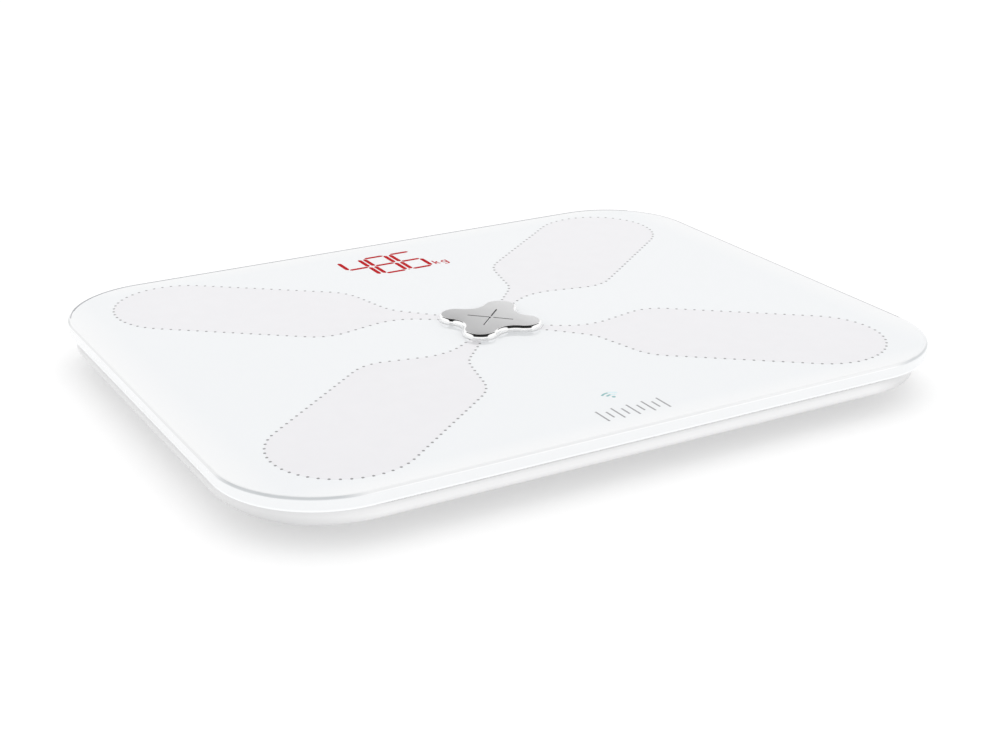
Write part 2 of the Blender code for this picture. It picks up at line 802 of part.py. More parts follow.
def make_main_board(look, chip, shield):
    bm = bmesh.new()
    add_box(bm, (-MAIN_BOARD_X, MAIN_BOARD_Y[0], BOARD_BOTTOM), (MAIN_BOARD_X, MAIN_BOARD_Y[1], BOARD_TOP))
    board = finish_object("main_board", bm, look, smooth=0)
    root = BOARD_TOP - 0.0005
    top = BOARD_TOP + 0.0032
    bm = bmesh.new()
    for side in (-1, 1):
        for y in (0.036, 0.049):
            low_x, high_x = sorted((side * 0.0252, side * 0.0298))
            add_box(bm, (low_x, y - 0.0036, root), (high_x, y + 0.0036, top))
    for x, y in ((0.0, 0.0245), (0.014, 0.0245), (0.0, 0.0595)):
        add_box(bm, (x - 0.0036, y - 0.0023, root), (x + 0.0036, y + 0.0023, top))
    combine(board, finish_object("board_headers", bm, look), "UNION")
    bm = bmesh.new()
    add_prism(bm, circle(board_boss_centres()[0], SCREW_SHANK + FIT_GAP, 8), 0.010, 0.014)
    combine(board, finish_object("board_screw_hole", bm, None), "DIFFERENCE")
    seat = BOARD_TOP + FACE_GAP
    bm = bmesh.new()
    add_box(bm, (-0.013, 0.037, seat), (-0.003, 0.047, seat + 0.0014))
    finish_object("controller_chip", bm, chip, smooth=0)
    bm = bmesh.new()
    add_box(bm, (0.006, 0.0375, seat), (0.019, 0.0555, seat + 0.0021))
    finish_object("wireless_module", bm, shield, smooth=0)


def make_board_screw(look):
    bm = bmesh.new()
    add_screw(bm, board_boss_centres()[0], 0.0066, BOARD_TOP)
    finish_object("board_screw", bm, look)


def segment_boxes(left):
    """The seven segments of one digit, as (low, high) corners in plan."""
    right = left + DIGIT_WIDTH
    bottom = DIGITS_BOTTOM
    middle = bottom + DIGIT_HEIGHT / 2
    top = bottom + DIGIT_HEIGHT
    half = DIGIT_STROKE / 2
    gap = DIGIT_STROKE + 0.0006
    boxes = []
    for y in (bottom + half, middle, top - half):
        boxes.append(((left + gap, y - half), (right - gap, y + half)))
    for x in (left + half, right - half):
        boxes.append(((x - half, bottom + gap), (x + half, middle - half - 0.0006)))
        boxes.append(((x - half, middle + half + 0.0006), (x + half, top - gap)))
    return boxes


def make_display(look, board_look):
    """The LED board, and the white block with a light shaft for each segment."""
    bm = bmesh.new()
    front, back = DISPLAY_BOARD_Y
    add_box(bm, (-DISPLAY_BOARD_X, front, BOARD_BOTTOM), (DISPLAY_BOARD_X, back, BOARD_TOP))
    finish_object("display_board", bm, board_look, smooth=0)
    low = BOARD_TOP + FACE_GAP
    high = GLASS_BOTTOM - FIT_GAP
    bm = bmesh.new()
    add_prism(bm, rounded_rectangle((-0.0285, 0.0820), (0.0285, 0.1145), 0.0015, 2), low, high)
    block = finish_object("display_light_block", bm, look)
    bm = bmesh.new()
    for digit in range(3):
        for box in segment_boxes(DIGITS_LEFT + digit * DIGIT_PITCH):
            add_box(bm, (*box[0], low - 0.001), (*box[1], high + 0.001))
    combine(block, finish_object("light_shafts", bm, None), "DIFFERENCE")


def make_unit_button(look, switch_look):
    """The unit button under the tray, with its origin on its axis, and the switch that it presses."""
    centre = (BUTTON_X, BUTTON_Y)
    bm = bmesh.new()
    add_turned(
        bm,
        centre,
        [
            (BUTTON_RADIUS - 0.0004, 0.0034),
            (BUTTON_RADIUS, 0.0038),
            (BUTTON_RADIUS, 0.0055),
            (0.0056, 0.0055),
            (0.0056, 0.0064),
            (0.0020, 0.0064),
            (0.0020, 0.0082),
        ],
        16,
    )
    finish_object("unit_button", bm, look, origin=(*centre, 0.0034))
    bm = bmesh.new()
    body_top = BOARD_BOTTOM - FACE_GAP
    side = 0.0031
    rings = [
        ring_at(circle(centre, 0.0017, 12), 0.0087),
        ring_at(circle(centre, 0.0017, 12), 0.0091),
        ring_at(square_as_ring(centre, side), 0.0091),
        ring_at(square_as_ring(centre, side), body_top),
    ]
    add_loft(bm, rings)
    finish_object("push_switch", bm, switch_look, smooth=0)


def square_as_ring(centre, half):
    """A square with three points on each side, in the order of a twelve-sided circle."""
    points = []
    for k in range(12):
        angle = 2 * math.pi * k / 12
        x, y = math.cos(angle), math.sin(angle)
        stretch = half / max(abs(x), abs(y))
        points.append((centre[0] + x * stretch, centre[1] + y * stretch))
    return points


# Leads.


def smooth_route(points, steps=4):
    """A Catmull-Rom curve through the points of a route."""
    points = [Vector(point) for point in points]
    padded = [points[0] * 2 - points[1]] + points + [points[-1] * 2 - points[-2]]
    route = []
    for a, b, c, d in zip(padded, padded[1:], padded[2:], padded[3:]):
        for step in range(steps):
            t = step / steps
            route.append(
                0.5 * (2 * b + (c - a) * t + (2 * a - 5 * b + 4 * c - d) * t**2 + (3 * b - a - 3 * c + d) * t**3)
            )
    route.append(points[-1])
    return route


def make_lead(name, points, look):
    curve = bpy.data.curves.new(name, "CURVE")
    curve.dimensions = "3D"
    curve.bevel_depth = LEAD_RADIUS
    curve.bevel_resolution = 2
    curve.use_fill_caps = True
    route = smooth_route(points)
    spline = curve.splines.new("POLY")
    spline.points.add(len(route) - 1)
    for target, point in zip(spline.points, route):
        target.co = (*point, 1.0)
    curve.materials.append(look)
    bpy.context.scene.collection.objects.link(bpy.data.objects.new(name, curve))


def make_leads(look):
    header = BOARD_TOP + 0.0016
    cell_level = CARRIER_BOTTOM - LEAD_RADIUS - FIT_GAP
    cell_edge = FOOT_X - CELL_SIDE / 2 - 0.0016
    for corner, (x_sign, y_sign) in CORNERS.items():
        header_y = 0.036 if y_sign < 0 else 0.049
        start = [(x_sign * cell_edge, y_sign * FOOT_Y, cell_level), (x_sign * 0.088, y_sign * FOOT_Y, 0.0086)]
        if y_sign < 0:
            middle = [(x_sign * 0.066, -0.058, 0.0086), (x_sign * 0.044, -0.012, 0.0086)]
        else:
            middle = [(x_sign * 0.066, 0.070, 0.0086)]
        end = [
            (x_sign * 0.0400, header_y - 0.001, 0.0116),
            (x_sign * 0.0345, header_y, header),
            (x_sign * 0.0302, header_y, header),
        ]
        make_lead("load_cell_lead_" + corner, start + middle + end, look)
    hub_route = [(0, 0, 0.0124), (0, 0.003, 0.0096), (0, 0.009, 0.0100), (0, 0.0165, header), (0, 0.0219, header)]
    make_lead("hub_lead", hub_route, look)
    display_front = DISPLAY_BOARD_Y[0] - 0.0003
    display_route = [(0, 0.0621, header), (0, 0.066, header), (0, 0.075, 0.0118), (0, display_front, 0.0118)]
    make_lead("display_lead", display_route, look)
    battery_route = [
        (0.0165, -0.0209, 0.0104),
        (0.0172, -0.012, 0.0090),
        (0.0165, 0.006, 0.0090),
        (0.0142, 0.0165, header),
        (0.0140, 0.0219, header),
    ]
    make_lead("battery_lead", battery_route, look)


def build():
    clear_scene()
    white = material("white_abs", (0.86, 0.87, 0.88), 0.35)
    grey = material("grey_abs", (0.55, 0.56, 0.58), 0.45)
    rubber = material("rubber", (0.75, 0.75, 0.75), 0.8)
    glass = material("white_backed_glass", (0.92, 0.93, 0.94), 0.06)
    film = material("conductive_film", (0.86, 0.86, 0.87), 0.15)
    chrome = material("chrome", (0.75, 0.75, 0.76), 0.12, 1.0)
    steel = material("spring_steel", (0.55, 0.55, 0.56), 0.35, 1.0)
    zinc = material("zinc_plate", (0.70, 0.70, 0.68), 0.3, 1.0)
    nickel = material("nickel_plate", (0.72, 0.70, 0.66), 0.25, 1.0)
    foam = material("foam_tape", (0.80, 0.80, 0.78), 0.9)
    board = material("circuit_board", (0.02, 0.16, 0.07), 0.4)
    black = material("black_epoxy", (0.02, 0.02, 0.02), 0.5)
    jacket = material("battery_jacket", (0.10, 0.12, 0.14), 0.35)
    insulation = material("lead_insulation", (0.75, 0.75, 0.75), 0.5)

    make_glass(glass)
    make_electrodes(film)
    make_adhesive_ring(foam)
    make_hub_cap(chrome)
    make_hub_carrier(grey)
    make_hub_fixings(rubber, nickel)
    make_hub_contacts(nickel)
    make_tray(white)
    make_corner_sets(grey, white, rubber, steel, zinc)
    make_door(white)
    make_cells(jacket)
    make_contacts(nickel)
    make_main_board(board, black, zinc)
    make_board_screw(zinc)
    make_display(white, board)
    make_unit_button(grey, black)
    make_leads(insulation)


build()
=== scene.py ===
"""Digital bathroom scale: the finished pieces and their looks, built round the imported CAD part."""

import math

import bmesh
import bpy
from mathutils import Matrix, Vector


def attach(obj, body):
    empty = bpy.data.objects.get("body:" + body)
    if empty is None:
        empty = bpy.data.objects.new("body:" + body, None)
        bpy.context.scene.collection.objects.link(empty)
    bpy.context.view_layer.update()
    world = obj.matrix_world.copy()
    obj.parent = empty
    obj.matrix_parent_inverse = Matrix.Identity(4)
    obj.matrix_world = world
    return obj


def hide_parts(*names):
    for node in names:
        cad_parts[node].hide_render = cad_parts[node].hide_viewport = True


# Platform and tray, in metres, as in the CAD part.
LENGTH = 0.330
WIDTH = 0.260
TOP = 0.023
GLASS_BOTTOM = 0.017
CORNER = 0.044
CHAMFER = 0.0009
ARRIS = 0.0007
TRAY_RIM = 0.0165
TRAY_BOTTOM = 0.0032
TRAY_FLOOR = 0.0052
LEDGE = 0.0086
RIM_INSET = 0.0006
RIM_CORNER = 0.054
RIM_LAND = 0.005
BOWL_RUN = 0.011
BOWL_CORNER = 0.022
BOWL_POWER = 3.0
FOOT_X = 0.114
FOOT_Y = 0.079
WELL_RADIUS = 0.0155
WELL_WALL = 0.0017
WELL_TOP = 0.0080
BUTTON_AT = (0.022, 0.040)
BUTTON_RADIUS = 0.0040
DOOR_HALF = 0.026
DOOR_FRONT = -0.07715
DOOR_BACK = -0.0195
DOOR_TOP = 0.0047
HINGE_Y = -0.0773
HINGE_Z = 0.0043
HINGE_TAB_X = 0.015
FIT_GAP = 0.0003
CUT_BOTTOM = 0.001
BAY_Y = -0.048
BAY_HALF_X = 0.0226
BAY_HALF_Y = 0.02525
BAY_ROOF = 0.0158
CELL_RADIUS = 0.00525
CELL_LENGTH = 0.0445
CELL_PITCH = 0.011
CELL_Z = DOOR_TOP + FIT_GAP + CELL_RADIUS

# Electrodes and hub.
PETAL_ANGLE = math.radians(38.15)
PETAL_REACH = 0.1445
PETAL_RADIUS = 0.0297
DOT_PITCH = 0.00405
DOT_RADIUS = 0.0006
PRINT_BOTTOM = TOP - 0.00005
PRINT_TOP = TOP + 0.00002
DOT_TOP = TOP + 0.00004
LOBE_OFFSET = 0.0112
LOBE_RADIUS = 0.0078
WAIST = 0.0145
HUB_BOTTOM = TOP + 0.0003
HUB_TOP = TOP + 0.0025
HUB_EDGE_INSET = 0.0010
HUB_EDGE_DROP = 0.0020
GROOVE_WIDTH = 0.0007
GROOVE_DEPTH = 0.0004
GROOVE_REACH = 0.0075

# The reading: rows and columns of seven-segment strokes.
SEGMENT_WIDTH = 0.0021
SEGMENT_ROWS = (0.0855, 0.0981, 0.1108)
DIGITS = (
    ((-0.0239, -0.0128), "bcfg"),
    ((-0.0099, 0.0013), "abcdefg"),
    ((0.0043, 0.0153), "acdefg"),
)

CORNERS = {
    "front_left": (-1, -1),
    "front_right": (1, -1),
    "back_left": (-1, 1),
    "back_right": (1, 1),
}

CAMERA_AT = Vector((-0.35269, -0.62490, 0.28665))
CAMERA_TO = Vector((-0.02764, -0.05704, 0.023))
CAMERA_LENS = 61.34


# Outlines: lists of (x, y), anticlockwise seen from above.


def arc(centre, radius, start, end, steps):
    angles = [math.radians(start + (end - start) * i / steps) for i in range(steps + 1)]
    return [(centre[0] + radius * math.cos(a), centre[1] + radius * math.sin(a)) for a in angles]


def circle(centre, radius, sides):
    return arc(centre, radius, 0, 360 - 360 / sides, sides - 1)


def rounded_rectangle(low, high, radius, steps=24):
    (x0, y0), (x1, y1) = low, high
    points = arc((x1 - radius, y0 + radius), radius, -90, 0, steps)
    points += arc((x1 - radius, y1 - radius), radius, 0, 90, steps)
    points += arc((x0 + radius, y1 - radius), radius, 90, 180, steps)
    points += arc((x0 + radius, y0 + radius), radius, 180, 270, steps)
    return points


def platform_outline(inset, radius):
    x = LENGTH / 2 - inset
    y = WIDTH / 2 - inset
    return rounded_rectangle((-x, -y), (x, y), radius)


def rectangle(low, high):
    return [low, (high[0], low[1]), high, (low[0], high[1])]


def fillet(before, corner, after, radius, steps):
    """Points along the arc that rounds a corner off and touches both of its sides."""
    corner = Vector(corner)
    into = (Vector(before) - corner).normalized()
    out = (Vector(after) - corner).normalized()
    half = into.angle(out) / 2
    centre = corner + (into + out).normalized() * radius / math.sin(half)
    start = corner + into * radius / math.tan(half) - centre
    end = corner + out * radius / math.tan(half) - centre
    turn = start.angle_signed(end)
    first = math.atan2(start.y, start.x)
    return arc(centre, radius, math.degrees(first), math.degrees(first - turn), steps)


def petal_outline():
    """The electrode in the quadrant of +X and +Y, from its neck under the hub round to its neck."""
    along = Vector((math.cos(PETAL_ANGLE), math.sin(PETAL_ANGLE)))
    across = Vector((-along.y, along.x))
    low_side = along * PETAL_REACH - across * PETAL_RADIUS
    high_side = along * PETAL_REACH + across * PETAL_RADIUS
    neck_low = (0.0133, 0.0113)
    waist_low = (0.0354, 0.0259)
    shoulder_low = (0.0715, 0.0180)
    shoulder_high = (0.0390, 0.0683)
    waist_high = (0.0319, 0.0370)
    neck_high = (0.0101, 0.0134)
    degrees = math.degrees(PETAL_ANGLE)
    points = [neck_low]
    points += fillet(neck_low, waist_low, shoulder_low, 0.028, 16)
    points += fillet(waist_low, shoulder_low, low_side, 0.020, 16)
    points += arc(along * PETAL_REACH, PETAL_RADIUS, degrees - 90, degrees + 90, 64)
    points += fillet(high_side, shoulder_high, waist_high, 0.0226, 16)
    points += fillet(shoulder_high, waist_high, neck_high, 0.020, 16)
    points.append(neck_high)
    return points


def hub_outline(inset):
    """The cross of the hub, moved in by inset: round lobes joined by arcs that curve inwards."""
    lobe_steps, waist_steps = 28, 10
    lobe = LOBE_RADIUS - inset
    waist = WAIST - inset
    hollow = (LOBE_OFFSET**2 + (waist - LOBE_OFFSET) ** 2 - lobe**2) / (2 * (lobe - waist + LOBE_OFFSET))
    span = math.degrees(math.atan2(LOBE_OFFSET, waist + hollow - LOBE_OFFSET))
    points = []
    for cosine, sine in ((1, 0), (0, 1), (-1, 0), (0, -1)):
        turned = arc((LOBE_OFFSET, LOBE_OFFSET), lobe, span - 90, 180 - span, lobe_steps)
        turned += arc((0, waist + hollow), hollow, -90 + span, -90 - span, waist_steps)[1:-1]
        points += [(x * cosine - y * sine, x * sine + y * cosine) for x, y in turned]
    return points


def mirrored(outline, x_sign, y_sign):
    points = [(x * x_sign, y * y_sign) for x, y in outline]
    return points if x_sign * y_sign > 0 else points[::-1]


def spaced(path, pitch):
    """Points along an open path, at equal distances near the given pitch."""
    path = [Vector(point) for point in path]
    lengths = [(b - a).length for a, b in zip(path, path[1:])]
    count = round(sum(lengths) / pitch)
    step = sum(lengths) / count
    points = []
    done = 0.0
    wanted = step / 2
    for start, end, length in zip(path, path[1:], lengths):
        while wanted <= done + length and len(points) < count:
            points.append(start.lerp(end, (wanted - done) / length))
            wanted += step
        done += length
    return points


# Solids: each adds one closed body to a bmesh.


def ring_at(outline, z):
    return [(x, y, z) for x, y in outline]


def add_loft(bm, rings):
    """Joins rings of equal length into a body, and closes its first and last ring."""
    loops = [[bm.verts.new(point) for point in ring] for ring in rings]
    count = len(rings[0])
    bm.faces.new(loops[0][::-1])
    for lower, upper in zip(loops, loops[1:]):
        for i in range(count):
            j = (i + 1) % count
            bm.faces.new((lower[i], lower[j], upper[j], upper[i]))
    bm.faces.new(loops[-1])


def add_prism(bm, outline, z0, z1):
    add_loft(bm, [ring_at(outline, z0), ring_at(outline, z1)])


def add_box(bm, low, high):
    add_prism(bm, rectangle(low[:2], high[:2]), low[2], high[2])


def add_turned(bm, centre, profile, sides=64):
    """A turned body: profile lists (radius, z) from its first flat end to its last."""
    add_loft(bm, [ring_at(circle(centre, radius, sides), z) for radius, z in profile])


def add_stroke(bm, path, width, z0, z1):
    """A ribbon of even width along an open path, as a thin body with square ends."""
    path = [Vector(point) for point in path]
    left, right = [], []
    for i, point in enumerate(path):
        before = (point - path[i - 1]).normalized() if i else (path[1] - point).normalized()
        after = (path[i + 1] - point).normalized() if i + 1 < len(path) else before
        along = (before + after).normalized()
        side = Vector((-along.y, along.x)) * width / 2 / max(along.dot(after), 0.3)
        left.append(point + side)
        right.append(point - side)
    add_prism(bm, [tuple(p) for p in right + left[::-1]], z0, z1)


# Objects.


def finish_piece(name, bm, looks, body=None, replaces=(), smooth=30):
    """Makes an object of the bmesh, which is in the part's frame, and puts it on its body."""
    bmesh.ops.recalc_face_normals(bm, faces=bm.faces)
    mesh = bpy.data.meshes.new(name)
    bm.to_mesh(mesh)
    bm.free()
    mesh.shade_smooth()
    mesh.set_sharp_from_angle(angle=math.radians(smooth))
    for look in looks:
        mesh.materials.append(look)
    obj = bpy.data.objects.new(name, mesh)
    bpy.context.scene.collection.objects.link(obj)
    if body:
        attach(obj, body)
    if replaces:
        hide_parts(*replaces)
    return obj


def combine(obj, tools):
    """Adds and cuts the given bmeshes, in order, and keeps the result as the object's own mesh."""
    helpers = []
    for operation, bm in tools:
        helper = finish_piece("helper", bm, ())
        modifier = obj.modifiers.new(operation, "BOOLEAN")
        modifier.operation = operation
        modifier.solver = "EXACT"
        modifier.object = helper
        helpers.append(helper)
    bpy.context.view_layer.update()
    graph = bpy.context.evaluated_depsgraph_get()
    mesh = bpy.data.meshes.new_from_object(obj.evaluated_get(graph))
    obj.modifiers.clear()
    obj.data = mesh
    for helper in helpers:
        bpy.data.objects.remove(helper)
    mesh.shade_smooth()
    mesh.set_sharp_from_angle(angle=math.radians(30))


# Materials.


class Nodes:
    """Short calls for building one material's node tree round its Principled shader."""

    def __init__(self, name, color, roughness, metallic=0.0):
        self.material = bpy.data.materials.new(name)
        self.material.use_nodes = True
        self.tree = self.material.node_tree
        self.shader = self.tree.nodes["Principled BSDF"]
        self.shader.inputs["Base Color"].default_value = (*color, 1.0)
        self.shader.inputs["Roughness"].default_value = roughness
        self.shader.inputs["Metallic"].default_value = metallic
        self.color = color
        self.roughness = roughness
        coordinates = self.tree.nodes.new("ShaderNodeTexCoord")
        self.place = coordinates.outputs["Object"]
        self.facing = coordinates.outputs["Normal"]

    def node(self, kind, **values):
        made = self.tree.nodes.new("ShaderNode" + kind)
        for key, value in values.items():
            setattr(made, key, value)
        return made

    def link(self, source, target):
        self.tree.links.new(source, target)

    def set(self, **values):
        for key, value in values.items():
            self.shader.inputs[key.replace("_", " ")].default_value = value
        return self

    def maths(self, operation, *sources):
        made = self.node("Math", operation=operation)
        for source, socket in zip(sources, made.inputs):
            self.link(source, socket)
        return made.outputs["Value"]

    def axis(self, vector, letter):
        """One component of a vector socket."""
        split = self.node("SeparateXYZ")
        self.link(vector, split.inputs["Vector"])
        return split.outputs[letter]

    def mapped(self, value, source, target):
        """A value carried from one range to another, and held at its ends."""
        made = self.node("MapRange")
        for name, number in zip(("From Min", "From Max", "To Min", "To Max"), (*source, *target)):
            made.inputs[name].default_value = number
        self.link(value, made.inputs["Value"])
        return made.outputs["Result"]

    def dimmed(self, color, factor):
        """A colour times a value."""
        made = self.node("VectorMath", operation="SCALE")
        self.link(color, made.inputs["Vector"])
        self.link(factor, made.inputs["Scale"])
        return made.outputs["Vector"]

    def scaled(self, factors):
        """Object coordinates, stretched along the axes."""
        mapping = self.node("Mapping")
        mapping.inputs["Scale"].default_value = factors
        self.link(self.place, mapping.inputs["Vector"])
        return mapping.outputs["Vector"]

    def noise(self, scale, detail=3.0, stretch=(1, 1, 1)):
        made = self.node("TexNoise")
        made.inputs["Scale"].default_value = scale
        made.inputs["Detail"].default_value = detail
        self.link(self.scaled(stretch), made.inputs["Vector"])
        return made.outputs["Fac"]

    def ramp(self, source, low, high, stops=(0.35, 0.65)):
        made = self.node("ValToRGB")
        for element, stop, color in zip(made.color_ramp.elements, stops, (low, high)):
            element.position = stop
            element.color = (*color, 1.0)
        self.link(source, made.inputs["Fac"])
        return made.outputs["Color"]

    def vary_color(self, source, amount):
        """The base colour a little darker and lighter, following a texture."""
        dark = tuple(channel * (1 - amount) for channel in self.color)
        light = tuple(min(channel * (1 + amount), 1.0) for channel in self.color)
        self.link(self.ramp(source, dark, light), self.shader.inputs["Base Color"])
        return self

    def vary_roughness(self, source, amount):
        varied = self.mapped(source, (0.0, 1.0), (self.roughness - amount, self.roughness + amount))
        self.link(varied, self.shader.inputs["Roughness"])
        return self

    def bump(self, source, height, strength=1.0):
        made = self.node("Bump")
        made.inputs["Distance"].default_value = height
        made.inputs["Strength"].default_value = strength
        self.link(source, made.inputs["Height"])
        self.link(made.outputs["Normal"], self.shader.inputs["Normal"])
        return self


def glass_top_look():
    """White print seen through clear tempered glass, with painted light: a little brighter towards the
    edges.
    """
    middle, painted_bright_rim = (0.775, 0.79, 0.805), (0.825, 0.828, 0.832)
    nodes = Nodes("glass_top", middle, 0.45)
    nodes.set(Coat_Weight=1.0, Coat_Roughness=0.025, Specular_IOR_Level=0.1)
    shares = []
    for axis, half in (("X", LENGTH / 2), ("Y", WIDTH / 2)):
        away = nodes.maths("ABSOLUTE", nodes.axis(nodes.place, axis))
        shares.append(nodes.mapped(away, (0.0, half), (0.0, 1.0)))
    # Painted light: the colour grows lighter from the middle out to the edges.
    color = nodes.ramp(nodes.maths("MAXIMUM", *shares), middle, painted_bright_rim, (0.90, 1.0))
    nodes.link(color, nodes.shader.inputs["Base Color"])
    nodes.vary_roughness(nodes.noise(40, 2), 0.03)
    return nodes.material


def glass_chamfer_look():
    """The ground bevel: pale on the straights, with painted shade on the left, darker grey-teal painted
    reflection round the corners and a painted highlight along its lower edge.
    """
    nodes = Nodes("glass_chamfer", (0.83, 0.84, 0.85), 0.2)
    left, front = nodes.axis(nodes.facing, "X"), nodes.axis(nodes.facing, "Y")
    corner = nodes.maths("ABSOLUTE", nodes.maths("MULTIPLY", left, front))
    # Painted reflection: the bevel turns darker grey-teal round the corners.
    color = nodes.ramp(corner, (0.835, 0.84, 0.845), (0.59, 0.61, 0.625), (0.02, 0.14))
    # Painted shade: darker where the bevel faces left.
    painted_left_shade = nodes.mapped(left, (-0.70, -0.55), (0.90, 1.0))
    nodes.link(nodes.dimmed(color, painted_left_shade), nodes.shader.inputs["Base Color"])
    nodes.set(Coat_Weight=0.5, Coat_Roughness=0.1, Emission_Color=(1.0, 1.0, 1.0, 1.0))
    low = TOP - CHAMFER
    # Painted highlight: a glow along the bevel's lower edge.
    painted_highlight = nodes.mapped(nodes.axis(nodes.place, "Z"), (low, low + 0.0002), (0.14, 0.0))
    nodes.link(painted_highlight, nodes.shader.inputs["Emission Strength"])
    return nodes.vary_roughness(nodes.noise(900, 2), 0.05).material


def glass_edge_look():
    """The polished side, with a painted highlight: it glows along its lower edge."""
    nodes = Nodes("glass_edge", (0.85, 0.86, 0.87), 0.25)
    nodes.set(Coat_Weight=0.6, Coat_Roughness=0.08, Emission_Color=(0.95, 0.98, 1.0, 1.0))
    low = GLASS_BOTTOM
    # Painted highlight: emission strongest just above the lower edge.
    painted_highlight = nodes.mapped(nodes.axis(nodes.place, "Z"), (low + 0.0004, low + 0.0013), (0.16, 0.04))
    nodes.link(painted_highlight, nodes.shader.inputs["Emission Strength"])
    nodes.vary_roughness(nodes.noise(900, 2), 0.06)
    return nodes.material


def petal_look():
    nodes = Nodes("electrode_fill", (0.742, 0.735, 0.757), 0.35)
    nodes.set(Coat_Weight=1.0, Coat_Roughness=0.05, Specular_IOR_Level=0.2)
    nodes.vary_color(nodes.noise(120, 3), 0.006)
    return nodes.material


def print_and_painted_line_look(name, color):
    """Printed ink under the glass's gloss; the painted reflection line at the far edge takes this look too.
    """
    nodes = Nodes(name, color, 0.4)
    nodes.set(Coat_Weight=0.5, Coat_Roughness=0.05)
    nodes.vary_color(nodes.noise(1500, 2), 0.05)
    return nodes.material


def glow_look():
    """Lit red segments, a little uneven."""
    nodes = Nodes("led_red", (0.05, 0.002, 0.002), 0.5)
    nodes.link(
        nodes.ramp(nodes.noise(220, 1), (0.46, 0.022, 0.026), (0.52, 0.028, 0.032)),
        nodes.shader.inputs["Emission Color"],
    )
    nodes.set(Emission_Strength=0.95, Specular_IOR_Level=0.0)
    return nodes.material


def chrome_look():
    nodes = Nodes("chrome_bright", (1.0, 1.0, 1.0), 0.045, 1.0)
    nodes.vary_roughness(nodes.noise(600, 2), 0.015)
    return nodes.material


def satin_look():
    """The hub's brushed top, with painted shade: darker towards the left."""
    nodes = Nodes("chrome_satin", (0.60, 0.605, 0.61), 0.34, 1.0)
    grain = nodes.noise(2600, 4, (1, 6, 1))
    # Painted shade: the base colour darkens towards the left.
    side = nodes.mapped(nodes.axis(nodes.place, "X"), (-0.018, 0.018), (0.0, 1.0))
    color = nodes.ramp(side, (0.56, 0.56, 0.565), (0.78, 0.78, 0.785), (0.1, 0.95))
    nodes.link(color, nodes.shader.inputs["Base Color"])
    return nodes.vary_roughness(grain, 0.06).bump(grain, 0.00001, 0.35).material


def engraved_look():
    nodes = Nodes("engraving", (0.16, 0.16, 0.165), 0.55, 0.6)
    nodes.vary_color(nodes.noise(3000, 2), 0.12)
    return nodes.material


def moulded_look(name, color, roughness):
    """Moulded plastic: a fine spark-eroded grain, and a slow change of gloss."""
    nodes = Nodes(name, color, roughness)
    nodes.vary_color(nodes.noise(60, 2), 0.012)
    nodes.vary_roughness(nodes.noise(90, 3), 0.05)
    return nodes.bump(nodes.noise(1800, 3), 0.00002, 0.5).material


def shell_look():
    """The tray's satin white, with painted shade darker under the glass, at its foot, to the left and at
    its two far tips, and a painted highlight band across its middle.
    """
    nodes = Nodes("white_shell", (0.84, 0.845, 0.85), 0.34)
    # Painted shade and highlight: a band by height, darker under the glass and at the foot, lightest across
    # the middle.
    height = nodes.mapped(nodes.axis(nodes.place, "Z"), (LEDGE, TRAY_RIM), (0.0, 1.0))
    stops = ((0.0, 0.70), (0.30, 0.83), (0.55, 0.895), (0.80, 0.86), (1.0, 0.76))
    band = nodes.node("ValToRGB")
    elements = band.color_ramp.elements
    while len(elements) < len(stops):
        elements.new(0.5)
    cool = 1.005
    for element, (stop, value) in zip(elements, stops):
        element.position = stop
        element.color = (value, value, value * cool, 1.0)
    nodes.link(height, band.inputs["Fac"])
    # Painted shade: darker where the wall faces left and at the two far tips.
    left, front = nodes.axis(nodes.facing, "X"), nodes.axis(nodes.facing, "Y")
    side = nodes.mapped(left, (-0.8, -0.1), (0.84, 1.0))
    tip = nodes.mapped(nodes.maths("MULTIPLY", left, front), (-0.30, -0.04), (0.84, 1.0))
    color = nodes.dimmed(band.outputs["Color"], nodes.maths("MULTIPLY", side, tip))
    nodes.link(color, nodes.shader.inputs["Base Color"])
    nodes.vary_roughness(nodes.noise(90, 3), 0.05)
    return nodes.bump(nodes.noise(1800, 3), 0.000006, 0.2).material


def rubber_look():
    nodes = Nodes("pad_rubber", (0.42, 0.42, 0.43), 0.75)
    nodes.vary_color(nodes.noise(700, 5), 0.10)
    return nodes.bump(nodes.noise(2400, 4), 0.00004, 0.7).material


def metal_look(name, color, roughness, stretch=(1, 1, 1)):
    """Plain metal with a fine grain, which stretch draws out along an axis."""
    nodes = Nodes(name, color, roughness, 1.0)
    grain = nodes.noise(900, 4, stretch)
    nodes.vary_color(grain, 0.10).vary_roughness(grain, 0.08)
    return nodes.bump(grain, 0.00001, 0.4).material


def board_look():
    """Green solder mask over copper tracks."""
    nodes = Nodes("solder_mask", (0.02, 0.16, 0.07), 0.32)
    bricks = nodes.node("TexBrick")
    bricks.inputs["Scale"].default_value = 180
    bricks.inputs["Mortar Size"].default_value = 0.012
    bricks.inputs["Color1"].default_value = (0.015, 0.13, 0.055, 1)
    bricks.inputs["Color2"].default_value = (0.02, 0.17, 0.075, 1)
    bricks.inputs["Mortar"].default_value = (0.05, 0.30, 0.13, 1)
    nodes.link(nodes.place, bricks.inputs["Vector"])
    nodes.link(bricks.outputs["Color"], nodes.shader.inputs["Base Color"])
    nodes.set(Coat_Weight=0.6, Coat_Roughness=0.2)
    return nodes.bump(bricks.outputs["Fac"], 0.00004, 0.4).material


